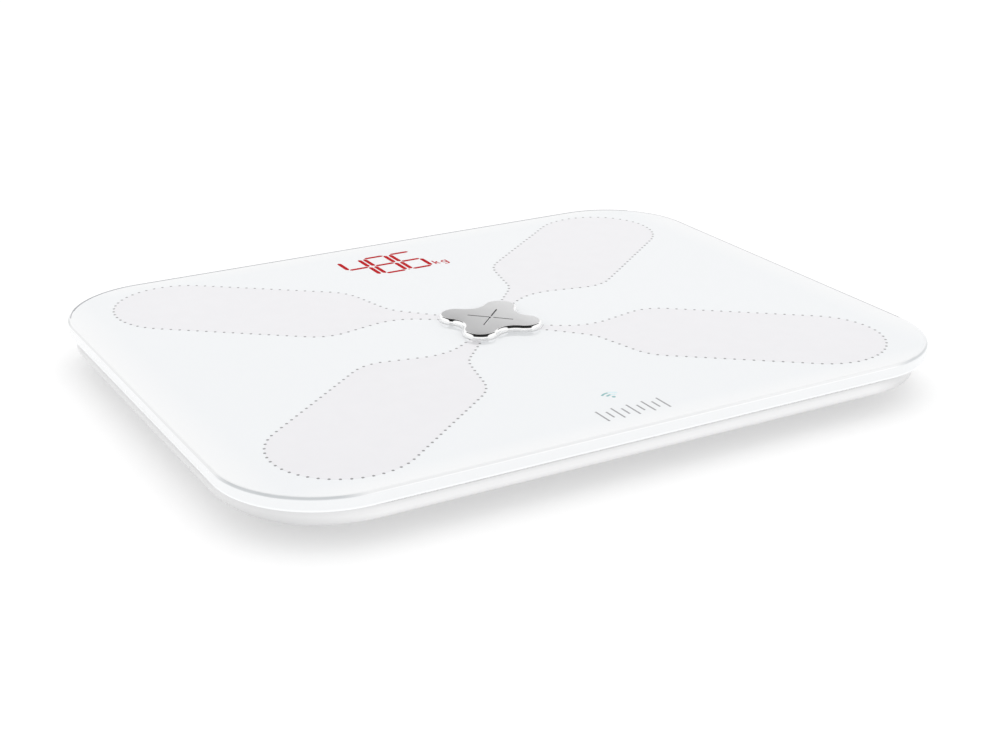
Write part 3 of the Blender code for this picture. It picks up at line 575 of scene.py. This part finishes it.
def jacket_look():
    """A cell's printed jacket: a dark body with a silver band towards one end."""
    dark, silver = (0.03, 0.035, 0.045), (0.35, 0.36, 0.38)
    nodes = Nodes("cell_jacket", dark, 0.28)
    front = BAY_Y - CELL_LENGTH / 2
    share = nodes.mapped(nodes.axis(nodes.place, "Y"), (front, front + CELL_LENGTH), (0.0, 1.0))
    band = nodes.ramp(share, dark, silver, (0.70, 0.71))
    nodes.link(band, nodes.shader.inputs["Base Color"])
    nodes.set(Coat_Weight=0.7, Coat_Roughness=0.12)
    return nodes.bump(nodes.noise(300, 2), 0.00003, 0.3).material


def lead_look():
    nodes = Nodes("lead_insulation", (0.62, 0.62, 0.64), 0.45)
    nodes.vary_color(nodes.noise(400, 3), 0.06)
    return nodes.bump(nodes.noise(1500, 2), 0.00003, 0.4).material


def foam_look():
    nodes = Nodes("foam_tape", (0.70, 0.70, 0.70), 0.9)
    # Painted light: a weak glow that lifts the shade in the gap under the glass.
    nodes.set(Emission_Color=(1.0, 1.0, 1.0, 1.0), Emission_Strength=0.10)
    cells = nodes.node("TexVoronoi")
    cells.inputs["Scale"].default_value = 1800
    nodes.link(nodes.place, cells.inputs["Vector"])
    nodes.vary_color(cells.outputs["Distance"], 0.12)
    return nodes.bump(cells.outputs["Distance"], 0.0001, 0.8).material


def floor_look():
    """A bright white sweep with a faint glow of its own; a view from underneath looks through it."""
    nodes = Nodes("white_sweep", (0.65, 0.65, 0.65), 0.7)
    nodes.set(Specular_IOR_Level=0.0, Emission_Color=(1.0, 1.0, 1.0, 1.0), Emission_Strength=0.33)
    nodes.vary_color(nodes.noise(3, 2), 0.002)
    mix = nodes.node("MixShader")
    nodes.link(nodes.node("NewGeometry").outputs["Backfacing"], mix.inputs["Fac"])
    nodes.link(nodes.shader.outputs["BSDF"], mix.inputs[1])
    nodes.link(nodes.node("BsdfTransparent").outputs["BSDF"], mix.inputs[2])
    output = next(node for node in nodes.tree.nodes if node.type == "OUTPUT_MATERIAL")
    nodes.link(mix.outputs["Shader"], output.inputs["Surface"])
    return nodes.material


# Platform.


def make_glass(looks):
    """The sheet: a rounded lower edge, an upright side and a bevel with softened edges."""
    rings = []
    for step in range(4):
        turn = math.radians(30 * step)
        inset = ARRIS * (1 - math.sin(turn))
        z = GLASS_BOTTOM + ARRIS * (1 - math.cos(turn))
        rings.append(ring_at(platform_outline(inset, CORNER - inset), z))
    ease = 0.00015
    rings += [
        ring_at(platform_outline(0, CORNER), TOP - CHAMFER - ease),
        ring_at(platform_outline(ease, CORNER - ease), TOP - CHAMFER + ease),
        ring_at(platform_outline(CHAMFER - ease, CORNER - CHAMFER), TOP - ease),
        ring_at(platform_outline(CHAMFER + ease, CORNER - CHAMFER - ease), TOP),
    ]
    bm = bmesh.new()
    add_loft(bm, rings)
    bm.normal_update()
    for face in bm.faces:
        tilt = face.normal.z
        face.material_index = 0 if tilt > 0.98 else 1 if tilt > 0.3 else 2
    finish_piece("glass_sheet", bm, looks, "platform", ("glass_platform",), 15)


def make_far_edge_line(look):
    """Painted reflection: the dark line where the top meets the far bevel, wide along the back, thin down
    both sides.
    """
    inset = CHAMFER + 0.0004
    thin = 0.0004
    radius = CORNER - inset
    x, y = LENGTH / 2 - inset - radius, WIDTH / 2 - inset - radius
    back = arc((x, y), radius, 45, 90, 12) + arc((-x, y), radius, 90, 150, 24)
    right = [(x + radius, -y)] + arc((x, y), radius, 0, 45, 12)
    left = arc((-x, y), radius, 150, 163, 8)
    bm = bmesh.new()
    for path, width in ((back, 0.0009), (right, thin), (left, thin)):
        add_stroke(bm, path, width, PRINT_BOTTOM, PRINT_TOP)
    finish_piece("painted_far_edge_reflection", bm, (look,), "platform")


def make_seal(look):
    """The pale tape between the glass and the tray's rim."""
    near, far = 0.0003, 0.0044
    outer = platform_outline(RIM_INSET + near, RIM_CORNER - near)
    inner = platform_outline(RIM_INSET + far, RIM_CORNER - far)
    bm = bmesh.new()
    rings = [ring_at(inner, TRAY_RIM), ring_at(outer, TRAY_RIM)]
    rings += [ring_at(outer, GLASS_BOTTOM), ring_at(inner, GLASS_BOTTOM)]
    loops = [[bm.verts.new(point) for point in ring] for ring in rings]
    for lower, upper in zip(loops, loops[1:] + loops[:1]):
        for i in range(len(outer)):
            j = (i + 1) % len(outer)
            bm.faces.new((lower[i], lower[j], upper[j], upper[i]))
    finish_piece("seal", bm, (look,), "platform", ("adhesive_ring",))


def make_electrodes(fill, dot):
    for corner, signs in CORNERS.items():
        outline = mirrored(petal_outline(), *signs)
        bm = bmesh.new()
        add_prism(bm, outline, PRINT_BOTTOM, PRINT_TOP)
        finish_piece("petal_" + corner, bm, (fill,), "platform", ("electrode_" + corner,))
        bm = bmesh.new()
        for point in spaced(outline, DOT_PITCH):
            add_prism(bm, circle(point, DOT_RADIUS, 16), PRINT_BOTTOM, DOT_TOP)
        finish_piece("petal_dots_" + corner, bm, (dot,), "platform")


def segment(bm, start, end, half):
    """One lit stroke with pointed ends, between two points in line with an axis."""
    start, end = Vector(start), Vector(end)
    along = (end - start).normalized() * half
    across = Vector((-along.y, along.x))
    points = [start, start + along - across, end - along - across]
    points += [end, end - along + across, start + along + across]
    add_prism(bm, [tuple(point) for point in points], PRINT_BOTTOM, PRINT_TOP)


def make_reading(look):
    """The lit reading: three digits, the decimal point and the unit."""
    bm = bmesh.new()
    half = SEGMENT_WIDTH / 2
    low, middle, high = SEGMENT_ROWS
    gap = 0.0004
    for (left, right), lit in DIGITS:
        strokes = {
            "a": ((left, high), (right, high)),
            "b": ((right, middle), (right, high)),
            "c": ((right, low), (right, middle)),
            "d": ((left, low), (right, low)),
            "e": ((left, low), (left, middle)),
            "f": ((left, middle), (left, high)),
            "g": ((left, middle), (right, middle)),
        }
        for letter in lit:
            start, end = (Vector(point) for point in strokes[letter])
            ease = (end - start).normalized() * gap
            segment(bm, start + ease, end - ease, half)
    add_prism(bm, rectangle((0.00225, 0.0850), (0.00325, 0.0860)), PRINT_BOTTOM, PRINT_TOP)
    thin = 0.0008
    unit = (
        [(0.0182, 0.0860), (0.0182, 0.0915)],
        [(0.0202, 0.0897), (0.0185, 0.0880)],
        [(0.0190, 0.0885), (0.0203, 0.0860)],
        [(0.0247, 0.0900), (0.0247, 0.0850), (0.0242, 0.0845), (0.0222, 0.0845)],
        arc((0.0235, 0.0881), 0.0014, 50, 310, 16),
    )
    for path in unit:
        add_stroke(bm, path, thin, PRINT_BOTTOM, PRINT_TOP)
    finish_piece("reading", bm, (look,), "platform")


def make_front_marks(dark, pale, grey):
    """A wireless fan over the front edge, and plain ticks where a maker's word would stand."""
    centre = (0.0004, -0.1006)
    ticks_y = -0.1145
    tick_pitch = 0.0036
    for name, look, start, end in (("fan_left", dark, 90, 135), ("fan_right", pale, 45, 90)):
        bm = bmesh.new()
        for radius in (0.0031, 0.0052):
            add_stroke(bm, arc(centre, radius, start, end, 12), 0.0010, PRINT_BOTTOM, PRINT_TOP)
        finish_piece(name, bm, (look,), "platform")
    bm = bmesh.new()
    add_prism(bm, circle((centre[0], centre[1] + 0.0006), 0.0008, 20), PRINT_BOTTOM, PRINT_TOP)
    finish_piece("fan_dot", bm, (dark,), "platform")
    bm = bmesh.new()
    for tick in range(-4, 5):
        x = tick * tick_pitch
        reach = 0.0052 if tick % 2 == 0 else 0.0030
        add_stroke(bm, [(x, ticks_y - reach), (x, ticks_y + reach)], 0.0008, PRINT_BOTTOM, PRINT_TOP)
    finish_piece("front_ticks", bm, (grey,), "platform")


# Hub.


def hub_grooves():
    """Cutters for the engraved arms: the two on the left meet, the two on the right stand off."""
    bm = bmesh.new()
    floor, over = HUB_TOP - GROOVE_DEPTH, HUB_TOP + 0.001
    reach, near = GROOVE_REACH, 0.0010
    add_stroke(bm, [(-reach, reach), (0, 0), (-reach, -reach)], GROOVE_WIDTH, floor, over)
    for sign in (-1, 1):
        add_stroke(bm, [(near, sign * near), (reach, sign * reach)], GROOVE_WIDTH, floor, over)
    return bm


def in_groove(point):
    """Whether a point of the cap's surface lies in an engraved arm."""
    depth = HUB_TOP - point.z
    sunk = 0.00002 < depth < GROOVE_DEPTH + 0.00002
    on_diagonal = abs(abs(point.x) - abs(point.y)) < 0.0008
    return sunk and on_diagonal and max(abs(point.x), abs(point.y)) < GROOVE_REACH + 0.0005


def make_hub(chrome, satin, engraved, gasket):
    """The cap: a thin flange, a mirror-bright rounded edge and a satin top with engraved arms."""
    shoulder = HUB_TOP - HUB_EDGE_DROP
    flange = 0.0003
    pocket = 0.0013
    rings = [
        ring_at(hub_outline(pocket), HUB_BOTTOM + 0.0016),
        ring_at(hub_outline(pocket), HUB_BOTTOM),
        ring_at(hub_outline(0), HUB_BOTTOM),
        ring_at(hub_outline(-flange), TOP + 0.00005),
        ring_at(hub_outline(-flange), TOP + 0.0003),
        ring_at(hub_outline(0), TOP + 0.0004),
    ]
    for step in range(13):
        turn = math.radians(7.5 * step)
        inset = HUB_EDGE_INSET * (1 - math.cos(turn))
        rings.append(ring_at(hub_outline(inset), shoulder + HUB_EDGE_DROP * math.sin(turn)))
    bm = bmesh.new()
    add_loft(bm, rings)
    bm.normal_update()
    for face in bm.faces:
        z = face.calc_center_median().z
        if TOP < z < TOP + 0.00038:
            face.material_index = 3
        elif face.normal.z > 0.995 and z > HUB_TOP - 0.0001:
            face.material_index = 1
    looks = (chrome, satin, engraved, gasket)
    cap = finish_piece("hub_cover", bm, looks, "platform", ("hub_cap",))
    combine(cap, [("DIFFERENCE", hub_grooves())])
    for polygon in cap.data.polygons:
        if in_groove(polygon.center):
            polygon.material_index = 2


# Tray.


def bowl_rings():
    """The curved outer wall, from its foot on the ledge up to the rim."""
    steps = 20
    rings = []
    depth = TRAY_RIM - LEDGE
    for step in range(steps, -1, -1):
        turn = math.radians(90) * step / steps
        across = 1 - math.cos(turn) ** (2 / BOWL_POWER) if step < steps else 1.0
        down = math.sin(turn) ** (2 / BOWL_POWER) if step else 0.0
        radius = RIM_CORNER + (BOWL_CORNER - RIM_CORNER) * across
        outline = platform_outline(RIM_INSET + BOWL_RUN * across, radius)
        rings.append(ring_at(outline, TRAY_RIM - depth * down))
    return rings


def tray_body():
    """The shell's section, outside from the floor up to the rim and then inside back down."""
    inner = RIM_INSET + RIM_LAND
    inner_corner = RIM_CORNER - RIM_LAND
    rings = [
        ring_at(platform_outline(0.0306, 0.0185), TRAY_BOTTOM),
        ring_at(platform_outline(0.0294, 0.0190), TRAY_BOTTOM + 0.0003),
        ring_at(platform_outline(0.0168, 0.0206), LEDGE - 0.0006),
        ring_at(platform_outline(0.0155, 0.0210), LEDGE - 0.0001),
    ]
    rings += bowl_rings()
    rings += [
        ring_at(platform_outline(inner, inner_corner), TRAY_RIM),
        ring_at(platform_outline(inner, inner_corner - 0.002), 0.0122),
        ring_at(platform_outline(0.0085, 0.034), 0.0108),
        ring_at(platform_outline(0.0175, 0.0265), 0.0104),
        ring_at(platform_outline(0.0315, 0.0225), TRAY_FLOOR),
    ]
    bm = bmesh.new()
    add_loft(bm, rings)
    return bm


def tray_additions():
    """Foot wells and the block of the battery bay, standing on the tray's floor."""
    root = TRAY_FLOOR - 0.0010
    pad_top = 0.0064
    bay_top = 0.0167
    bm = bmesh.new()
    for x_sign, y_sign in CORNERS.values():
        well = circle((x_sign * FOOT_X, y_sign * FOOT_Y), WELL_RADIUS + WELL_WALL, 64)
        add_prism(bm, well, root, WELL_TOP)
    wall_x, wall_y = BAY_HALF_X + 0.0015, BAY_HALF_Y + 0.0015
    pad = rectangle((-0.029, -0.0805), (0.029, -0.0165))
    walls = rectangle((-wall_x, BAY_Y - wall_y), (wall_x, BAY_Y + wall_y))
    rings = [ring_at(pad, root), ring_at(pad, pad_top)]
    rings += [ring_at(walls, pad_top), ring_at(walls, bay_top)]
    add_loft(bm, rings)
    return bm


def tray_rims():
    """Low raised rims under the tray, round each foot."""
    bm = bmesh.new()
    for x_sign, y_sign in CORNERS.values():
        centre = (x_sign * FOOT_X, y_sign * FOOT_Y)
        outer = WELL_RADIUS + 0.0016
        low = TRAY_BOTTOM - 0.0005
        add_turned(bm, centre, [(outer - 0.0003, low), (outer, low + 0.0003), (outer, TRAY_FLOOR - 0.0005)])
    return bm


def tray_cuts():
    """Cutters for the foot wells and the button's hole."""
    bm = bmesh.new()
    for x_sign, y_sign in CORNERS.values():
        add_prism(bm, circle((x_sign * FOOT_X, y_sign * FOOT_Y), WELL_RADIUS, 64), CUT_BOTTOM, 0.009)
    add_prism(bm, circle(BUTTON_AT, BUTTON_RADIUS + FIT_GAP, 40), CUT_BOTTOM, 0.006)
    return bm


def tray_scoops():
    """Shallow hollows: a thumb scoop at the door's latch, and a blank field for a rating plate."""
    bm = bmesh.new()
    scoop = [(0.0085, CUT_BOTTOM), (0.0085, 0.0032), (0.0078, 0.0038), (0.0066, 0.0040)]
    add_turned(bm, (0, DOOR_BACK + 0.0005), scoop, 48)
    field = rounded_rectangle((0.050, -0.030), (0.096, 0.030), 0.003, 8)
    add_prism(bm, field, CUT_BOTTOM, TRAY_BOTTOM + 0.0003)
    return bm


def bay_cut():
    bm = bmesh.new()
    add_box(bm, (-BAY_HALF_X, BAY_Y - BAY_HALF_Y, 0.0040), (BAY_HALF_X, BAY_Y + BAY_HALF_Y, BAY_ROOF))
    return bm


def door_recess_cut():
    side = DOOR_HALF + FIT_GAP
    recess = rounded_rectangle((-side, HINGE_Y), (side, DOOR_BACK + FIT_GAP), 0.0020, 8)
    bm = bmesh.new()
    add_prism(bm, recess, CUT_BOTTOM, DOOR_TOP + 0.0001)
    return bm


def door_slot_cuts():
    """Slots for the door's two hinge tabs and for its latch."""
    bm = bmesh.new()
    half = 0.0036
    for side in (-1, 1):
        x = side * HINGE_TAB_X
        add_box(bm, (x - half, -0.0799, 0.0042), (x + half, -0.0720, 0.0070))
    add_box(bm, (-0.0070, -0.0212, 0.0041), (0.0070, DOOR_BACK + 0.0002, 0.0070))
    return bm


def make_tray(look):
    tray = finish_piece("tray", tray_body(), (look,), "platform", ("base_shell",))
    combine(
        tray,
        [
            ("UNION", tray_rims()),
            ("UNION", tray_additions()),
            ("DIFFERENCE", tray_cuts()),
            ("DIFFERENCE", bay_cut()),
            ("DIFFERENCE", door_recess_cut()),
            ("DIFFERENCE", tray_scoops()),
            ("DIFFERENCE", door_slot_cuts()),
        ],
    )


# Moving pieces under the tray.


def make_feet(plastic, rubber):
    """Each foot's cup and its rubber tread, which has two round grooves."""
    for corner, (x_sign, y_sign) in CORNERS.items():
        centre = (x_sign * FOOT_X, y_sign * FOOT_Y)
        body = "foot_carriage_" + corner
        profile = [(0.0126, 0.0023), (0.0126, 0.0017)]
        profile += arc((0.0139, 0.0023), 0.0006, -90, 0, 6)
        profile += arc((0.0141, 0.0046), 0.0004, 0, 90, 4)
        profile += [(0.0058, 0.0053), (0.0050, 0.0057), (0.0050, 0.0072), (0.0048, 0.0074)]
        bm = bmesh.new()
        add_turned(bm, centre, profile)
        finish_piece("foot_cup_" + corner, bm, (plastic,), body, ("foot_" + corner,))
        pad = [(0.0004, 0.0006), (0.0030, 0.0006), (0.0034, 0.0)]
        for radius in (0.0058, 0.0088):
            pad += [(radius, 0.0), (radius + 0.0002, 0.0005)]
            pad += [(radius + 0.0008, 0.0005), (radius + 0.0010, 0.0)]
        pad += [(0.0117, 0.0)]
        pad += arc((0.0117, 0.0006), 0.0006, -90, 0, 4)[1:]
        pad += [(0.0123, 0.0020)]
        bm = bmesh.new()
        add_turned(bm, centre, pad)
        finish_piece("foot_tread_" + corner, bm, (rubber,), body, ("foot_pad_" + corner,))


def door_marks():
    """Cutters for the arrow and the grip lines that are sunk in the door's outer face."""
    bm = bmesh.new()
    depth = TRAY_BOTTOM + 0.0004
    for row in range(5):
        y = -0.0245 - row * 0.0016
        half = 0.0085 - row * 0.0008
        add_stroke(bm, [(-half, y), (half, y)], 0.0007, CUT_BOTTOM, depth)
    add_stroke(bm, [(-0.0035, -0.0375), (0, -0.0340), (0.0035, -0.0375)], 0.0009, CUT_BOTTOM, depth)
    return bm


def make_door(look):
    """The door: a plate with a slanted front edge, which clears the tray as it turns, and its tabs."""
    slant = HINGE_Z - TRAY_BOTTOM
    ease = 0.00025
    x, front, back = DOOR_HALF, DOOR_FRONT, DOOR_BACK
    outline = rounded_rectangle((-x, front), (x, back), 0.0018, 8)
    lower = rounded_rectangle((-x, front + slant), (x, back), 0.0018, 8)
    face = rounded_rectangle((-x + ease, front + slant + ease), (x - ease, back - ease), 0.0016, 8)
    rings = [ring_at(face, TRAY_BOTTOM), ring_at(lower, TRAY_BOTTOM + ease)]
    rings += [ring_at(outline, HINGE_Z), ring_at(outline, DOOR_TOP)]
    bm = bmesh.new()
    add_loft(bm, rings)
    door = finish_piece("bay_door", bm, (look,), "door", ("battery_door",))
    tabs = bmesh.new()
    for side in (-1, 1):
        x = side * HINGE_TAB_X
        add_box(tabs, (x - 0.003, -0.0793, 0.00435), (x + 0.003, -0.0738, 0.00515))
    add_box(tabs, (-0.0060, -0.0207, 0.0043), (0.0060, -0.0198, 0.0061))
    combine(door, [("UNION", tabs), ("DIFFERENCE", door_marks())])


def make_button(look):
    profile = [(0.0004, 0.0039), (0.0020, 0.0038), (0.0028, 0.0034)]
    profile += arc((0.0036, 0.0038), 0.0004, -90, 0, 5)
    profile += [(0.0040, 0.0055), (0.0056, 0.0055), (0.0056, 0.0064), (0.0020, 0.0064), (0.0020, 0.0082)]
    bm = bmesh.new()
    add_turned(bm, BUTTON_AT, profile, 48)
    finish_piece("unit_key", bm, (look,), "button", ("unit_button",))


def make_cells(jacket, metal):
    """AAA cells, alternately turned: even ones have their button at the front."""
    front = BAY_Y - BAY_HALF_Y + 0.0013
    back = BAY_Y + BAY_HALF_Y - 0.0013
    for index in range(4):
        x = (index - 1.5) * CELL_PITCH
        direction = -1 if index % 2 == 0 else 1
        tip = -front if direction < 0 else back
        body = tip - 0.0009
        start = tip - CELL_LENGTH
        radius = CELL_RADIUS
        profile = [(0.0040, start), (radius - 0.0005, start)]
        profile += arc((radius - 0.0004, start + 0.0004), 0.0004, -90, 0, 4)
        profile += arc((radius - 0.0004, body - 0.0004), 0.0004, 0, 90, 4)
        profile += [(0.0042, body), (0.0041, body - 0.0001), (0.0021, body - 0.0001)]
        profile += [(0.0019, tip - 0.0002), (0.0016, tip)]
        bm = bmesh.new()
        add_turned(bm, (0, 0), profile, 48)
        for face in bm.faces:
            middle = face.calc_center_median()
            wrapped = math.hypot(middle.x, middle.y) > radius - 0.0004
            face.material_index = 0 if wrapped else 1
        for vert in bm.verts:
            across, up, along = vert.co
            vert.co = (x + across, direction * along, CELL_Z - direction * up)
        name = f"cell_{index + 1}"
        finish_piece(name, bm, (jacket, metal), "platform", (f"battery_{index + 1}",))


# Stage.


def make_stage():
    bm = bmesh.new()
    half = 9.0
    corners = [bm.verts.new((x * half, y * half, 0.0)) for x, y in ((-1, -1), (1, -1), (1, 1), (-1, 1))]
    bm.faces.new(corners)
    floor = finish_piece("floor", bm, (floor_look(),))


def make_flag():
    """A dark curved card over the camera, seen only in the bright metal's reflections."""
    nodes = Nodes("black_card", (0.004, 0.004, 0.004), 0.9)
    nodes.vary_color(nodes.noise(5, 1), 0.1)
    toward = Vector((-0.497, -0.868, 0)).normalized()
    side = Vector((toward.y, -toward.x, 0))
    reach = half_width = 1.5
    bm = bmesh.new()
    rows = []
    for step in range(26):
        rise = math.radians(15 + 5 * step)
        middle = (toward * math.cos(rise) + Vector((0, 0, math.sin(rise)))) * reach
        rows.append([bm.verts.new(middle - side * half_width), bm.verts.new(middle + side * half_width)])
    for low, high in zip(rows, rows[1:]):
        bm.faces.new((low[0], low[1], high[1], high[0]))
    card = finish_piece("black_card", bm, (nodes.material,))
    card.visible_camera = False
    card.visible_diffuse = False
    card.visible_shadow = False
    card.visible_transmission = False


def make_lights():
    world = bpy.data.worlds.new("white_room")
    world.use_nodes = True
    background = world.node_tree.nodes["Background"]
    background.inputs["Color"].default_value = (1.0, 1.0, 1.0, 1.0)
    background.inputs["Strength"].default_value = 1.0
    bpy.context.scene.world = world
    data = bpy.data.lights.new("overhead", "AREA")
    data.shape = "SQUARE"
    data.size = 2.0
    data.energy = 8.0
    light = bpy.data.objects.new("overhead", data)
    light.location = (0.2, 0.3, 1.9)
    light.rotation_euler = (Vector((0, 0, 0)) - light.location).to_track_quat("-Z", "Y").to_euler()
    bpy.context.scene.collection.objects.link(light)


def make_camera():
    data = bpy.data.cameras.new("camera")
    data.lens = CAMERA_LENS
    data.sensor_width = 36.0
    data.clip_start = 0.01
    camera = bpy.data.objects.new("camera", data)
    camera.location = CAMERA_AT
    camera.rotation_euler = (CAMERA_TO - CAMERA_AT).to_track_quat("-Z", "Y").to_euler()
    bpy.context.scene.collection.objects.link(camera)
    bpy.context.scene.camera = camera


# CAD nodes that stay in view keep their shapes and take these looks.


def dress_nodes(nodes):
    """Gives each node the look of the first rule that its name starts with."""
    board = board_look()
    black = moulded_look("black_epoxy", (0.015, 0.015, 0.016), 0.45)
    grey = moulded_look("grey_nylon", (0.30, 0.31, 0.33), 0.5)
    white = moulded_look("white_reflector", (0.84, 0.84, 0.84), 0.45)
    rubber = rubber_look()
    steel = metal_look("rolled_steel", (0.46, 0.46, 0.47), 0.32, (1, 12, 1))
    zinc = metal_look("zinc_plate", (0.66, 0.66, 0.64), 0.28)
    nickel = metal_look("nickel_plate", (0.70, 0.67, 0.62), 0.22, (8, 1, 1))
    lead = lead_look()
    rules = (
        ("load_cell_lead_", lead),
        ("load_cell_", steel),
        ("cell_carrier_", grey),
        ("carrier_screw_", zinc),
        ("board_screw", zinc),
        ("battery_contact_", nickel),
        ("battery_lead", lead),
        ("hub_lead", lead),
        ("display_lead", lead),
        ("hub_contact_", nickel),
        ("hub_nut", nickel),
        ("hub_gasket", rubber),
        ("hub_carrier", grey),
        ("main_board", board),
        ("display_board", board),
        ("display_light_block", white),
        ("controller_chip", black),
        ("push_switch", black),
        ("wireless_module", zinc),
    )
    for name, node in nodes.items():
        for prefix, look in rules:
            if name.startswith(prefix):
                node.data.materials.clear()
                node.data.materials.append(look)
                break


def build():
    make_stage()
    make_lights()
    make_flag()
    make_camera()
    make_glass((glass_top_look(), glass_chamfer_look(), glass_edge_look()))
    # The far edge line is painted reflection, not ink.
    make_far_edge_line(print_and_painted_line_look("painted_far_edge_reflection", (0.30, 0.31, 0.33)))
    make_seal(foam_look())
    make_electrodes(petal_look(), print_and_painted_line_look("dot_print", (0.225, 0.225, 0.23)))
    make_reading(glow_look())
    teal = print_and_painted_line_look("teal_print", (0.19, 0.43, 0.43))
    pale = print_and_painted_line_look("pale_print", (0.58, 0.76, 0.79))
    make_front_marks(teal, pale, print_and_painted_line_look("grey_print", (0.27, 0.27, 0.28)))
    chrome = chrome_look()
    make_hub(chrome, satin_look(), engraved_look(), moulded_look("hub_gasket", (0.88, 0.885, 0.89), 0.4))
    shell = shell_look()
    make_tray(shell)
    make_feet(moulded_look("foot_plastic", (0.74, 0.75, 0.76), 0.42), rubber_look())
    make_door(shell)
    make_button(moulded_look("button_plastic", (0.30, 0.31, 0.33), 0.42))
    make_cells(jacket_look(), metal_look("cell_steel", (0.68, 0.68, 0.67), 0.25))


scene = bpy.context.scene
scene.view_settings.view_transform = "Standard"
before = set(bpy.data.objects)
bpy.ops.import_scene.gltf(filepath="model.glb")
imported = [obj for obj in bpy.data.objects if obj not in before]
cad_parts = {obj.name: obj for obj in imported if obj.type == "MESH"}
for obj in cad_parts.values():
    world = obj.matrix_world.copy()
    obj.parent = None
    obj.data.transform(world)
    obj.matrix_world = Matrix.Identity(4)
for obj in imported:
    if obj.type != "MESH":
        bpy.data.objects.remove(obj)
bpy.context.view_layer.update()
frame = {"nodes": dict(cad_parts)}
build()
dress_nodes(frame["nodes"])
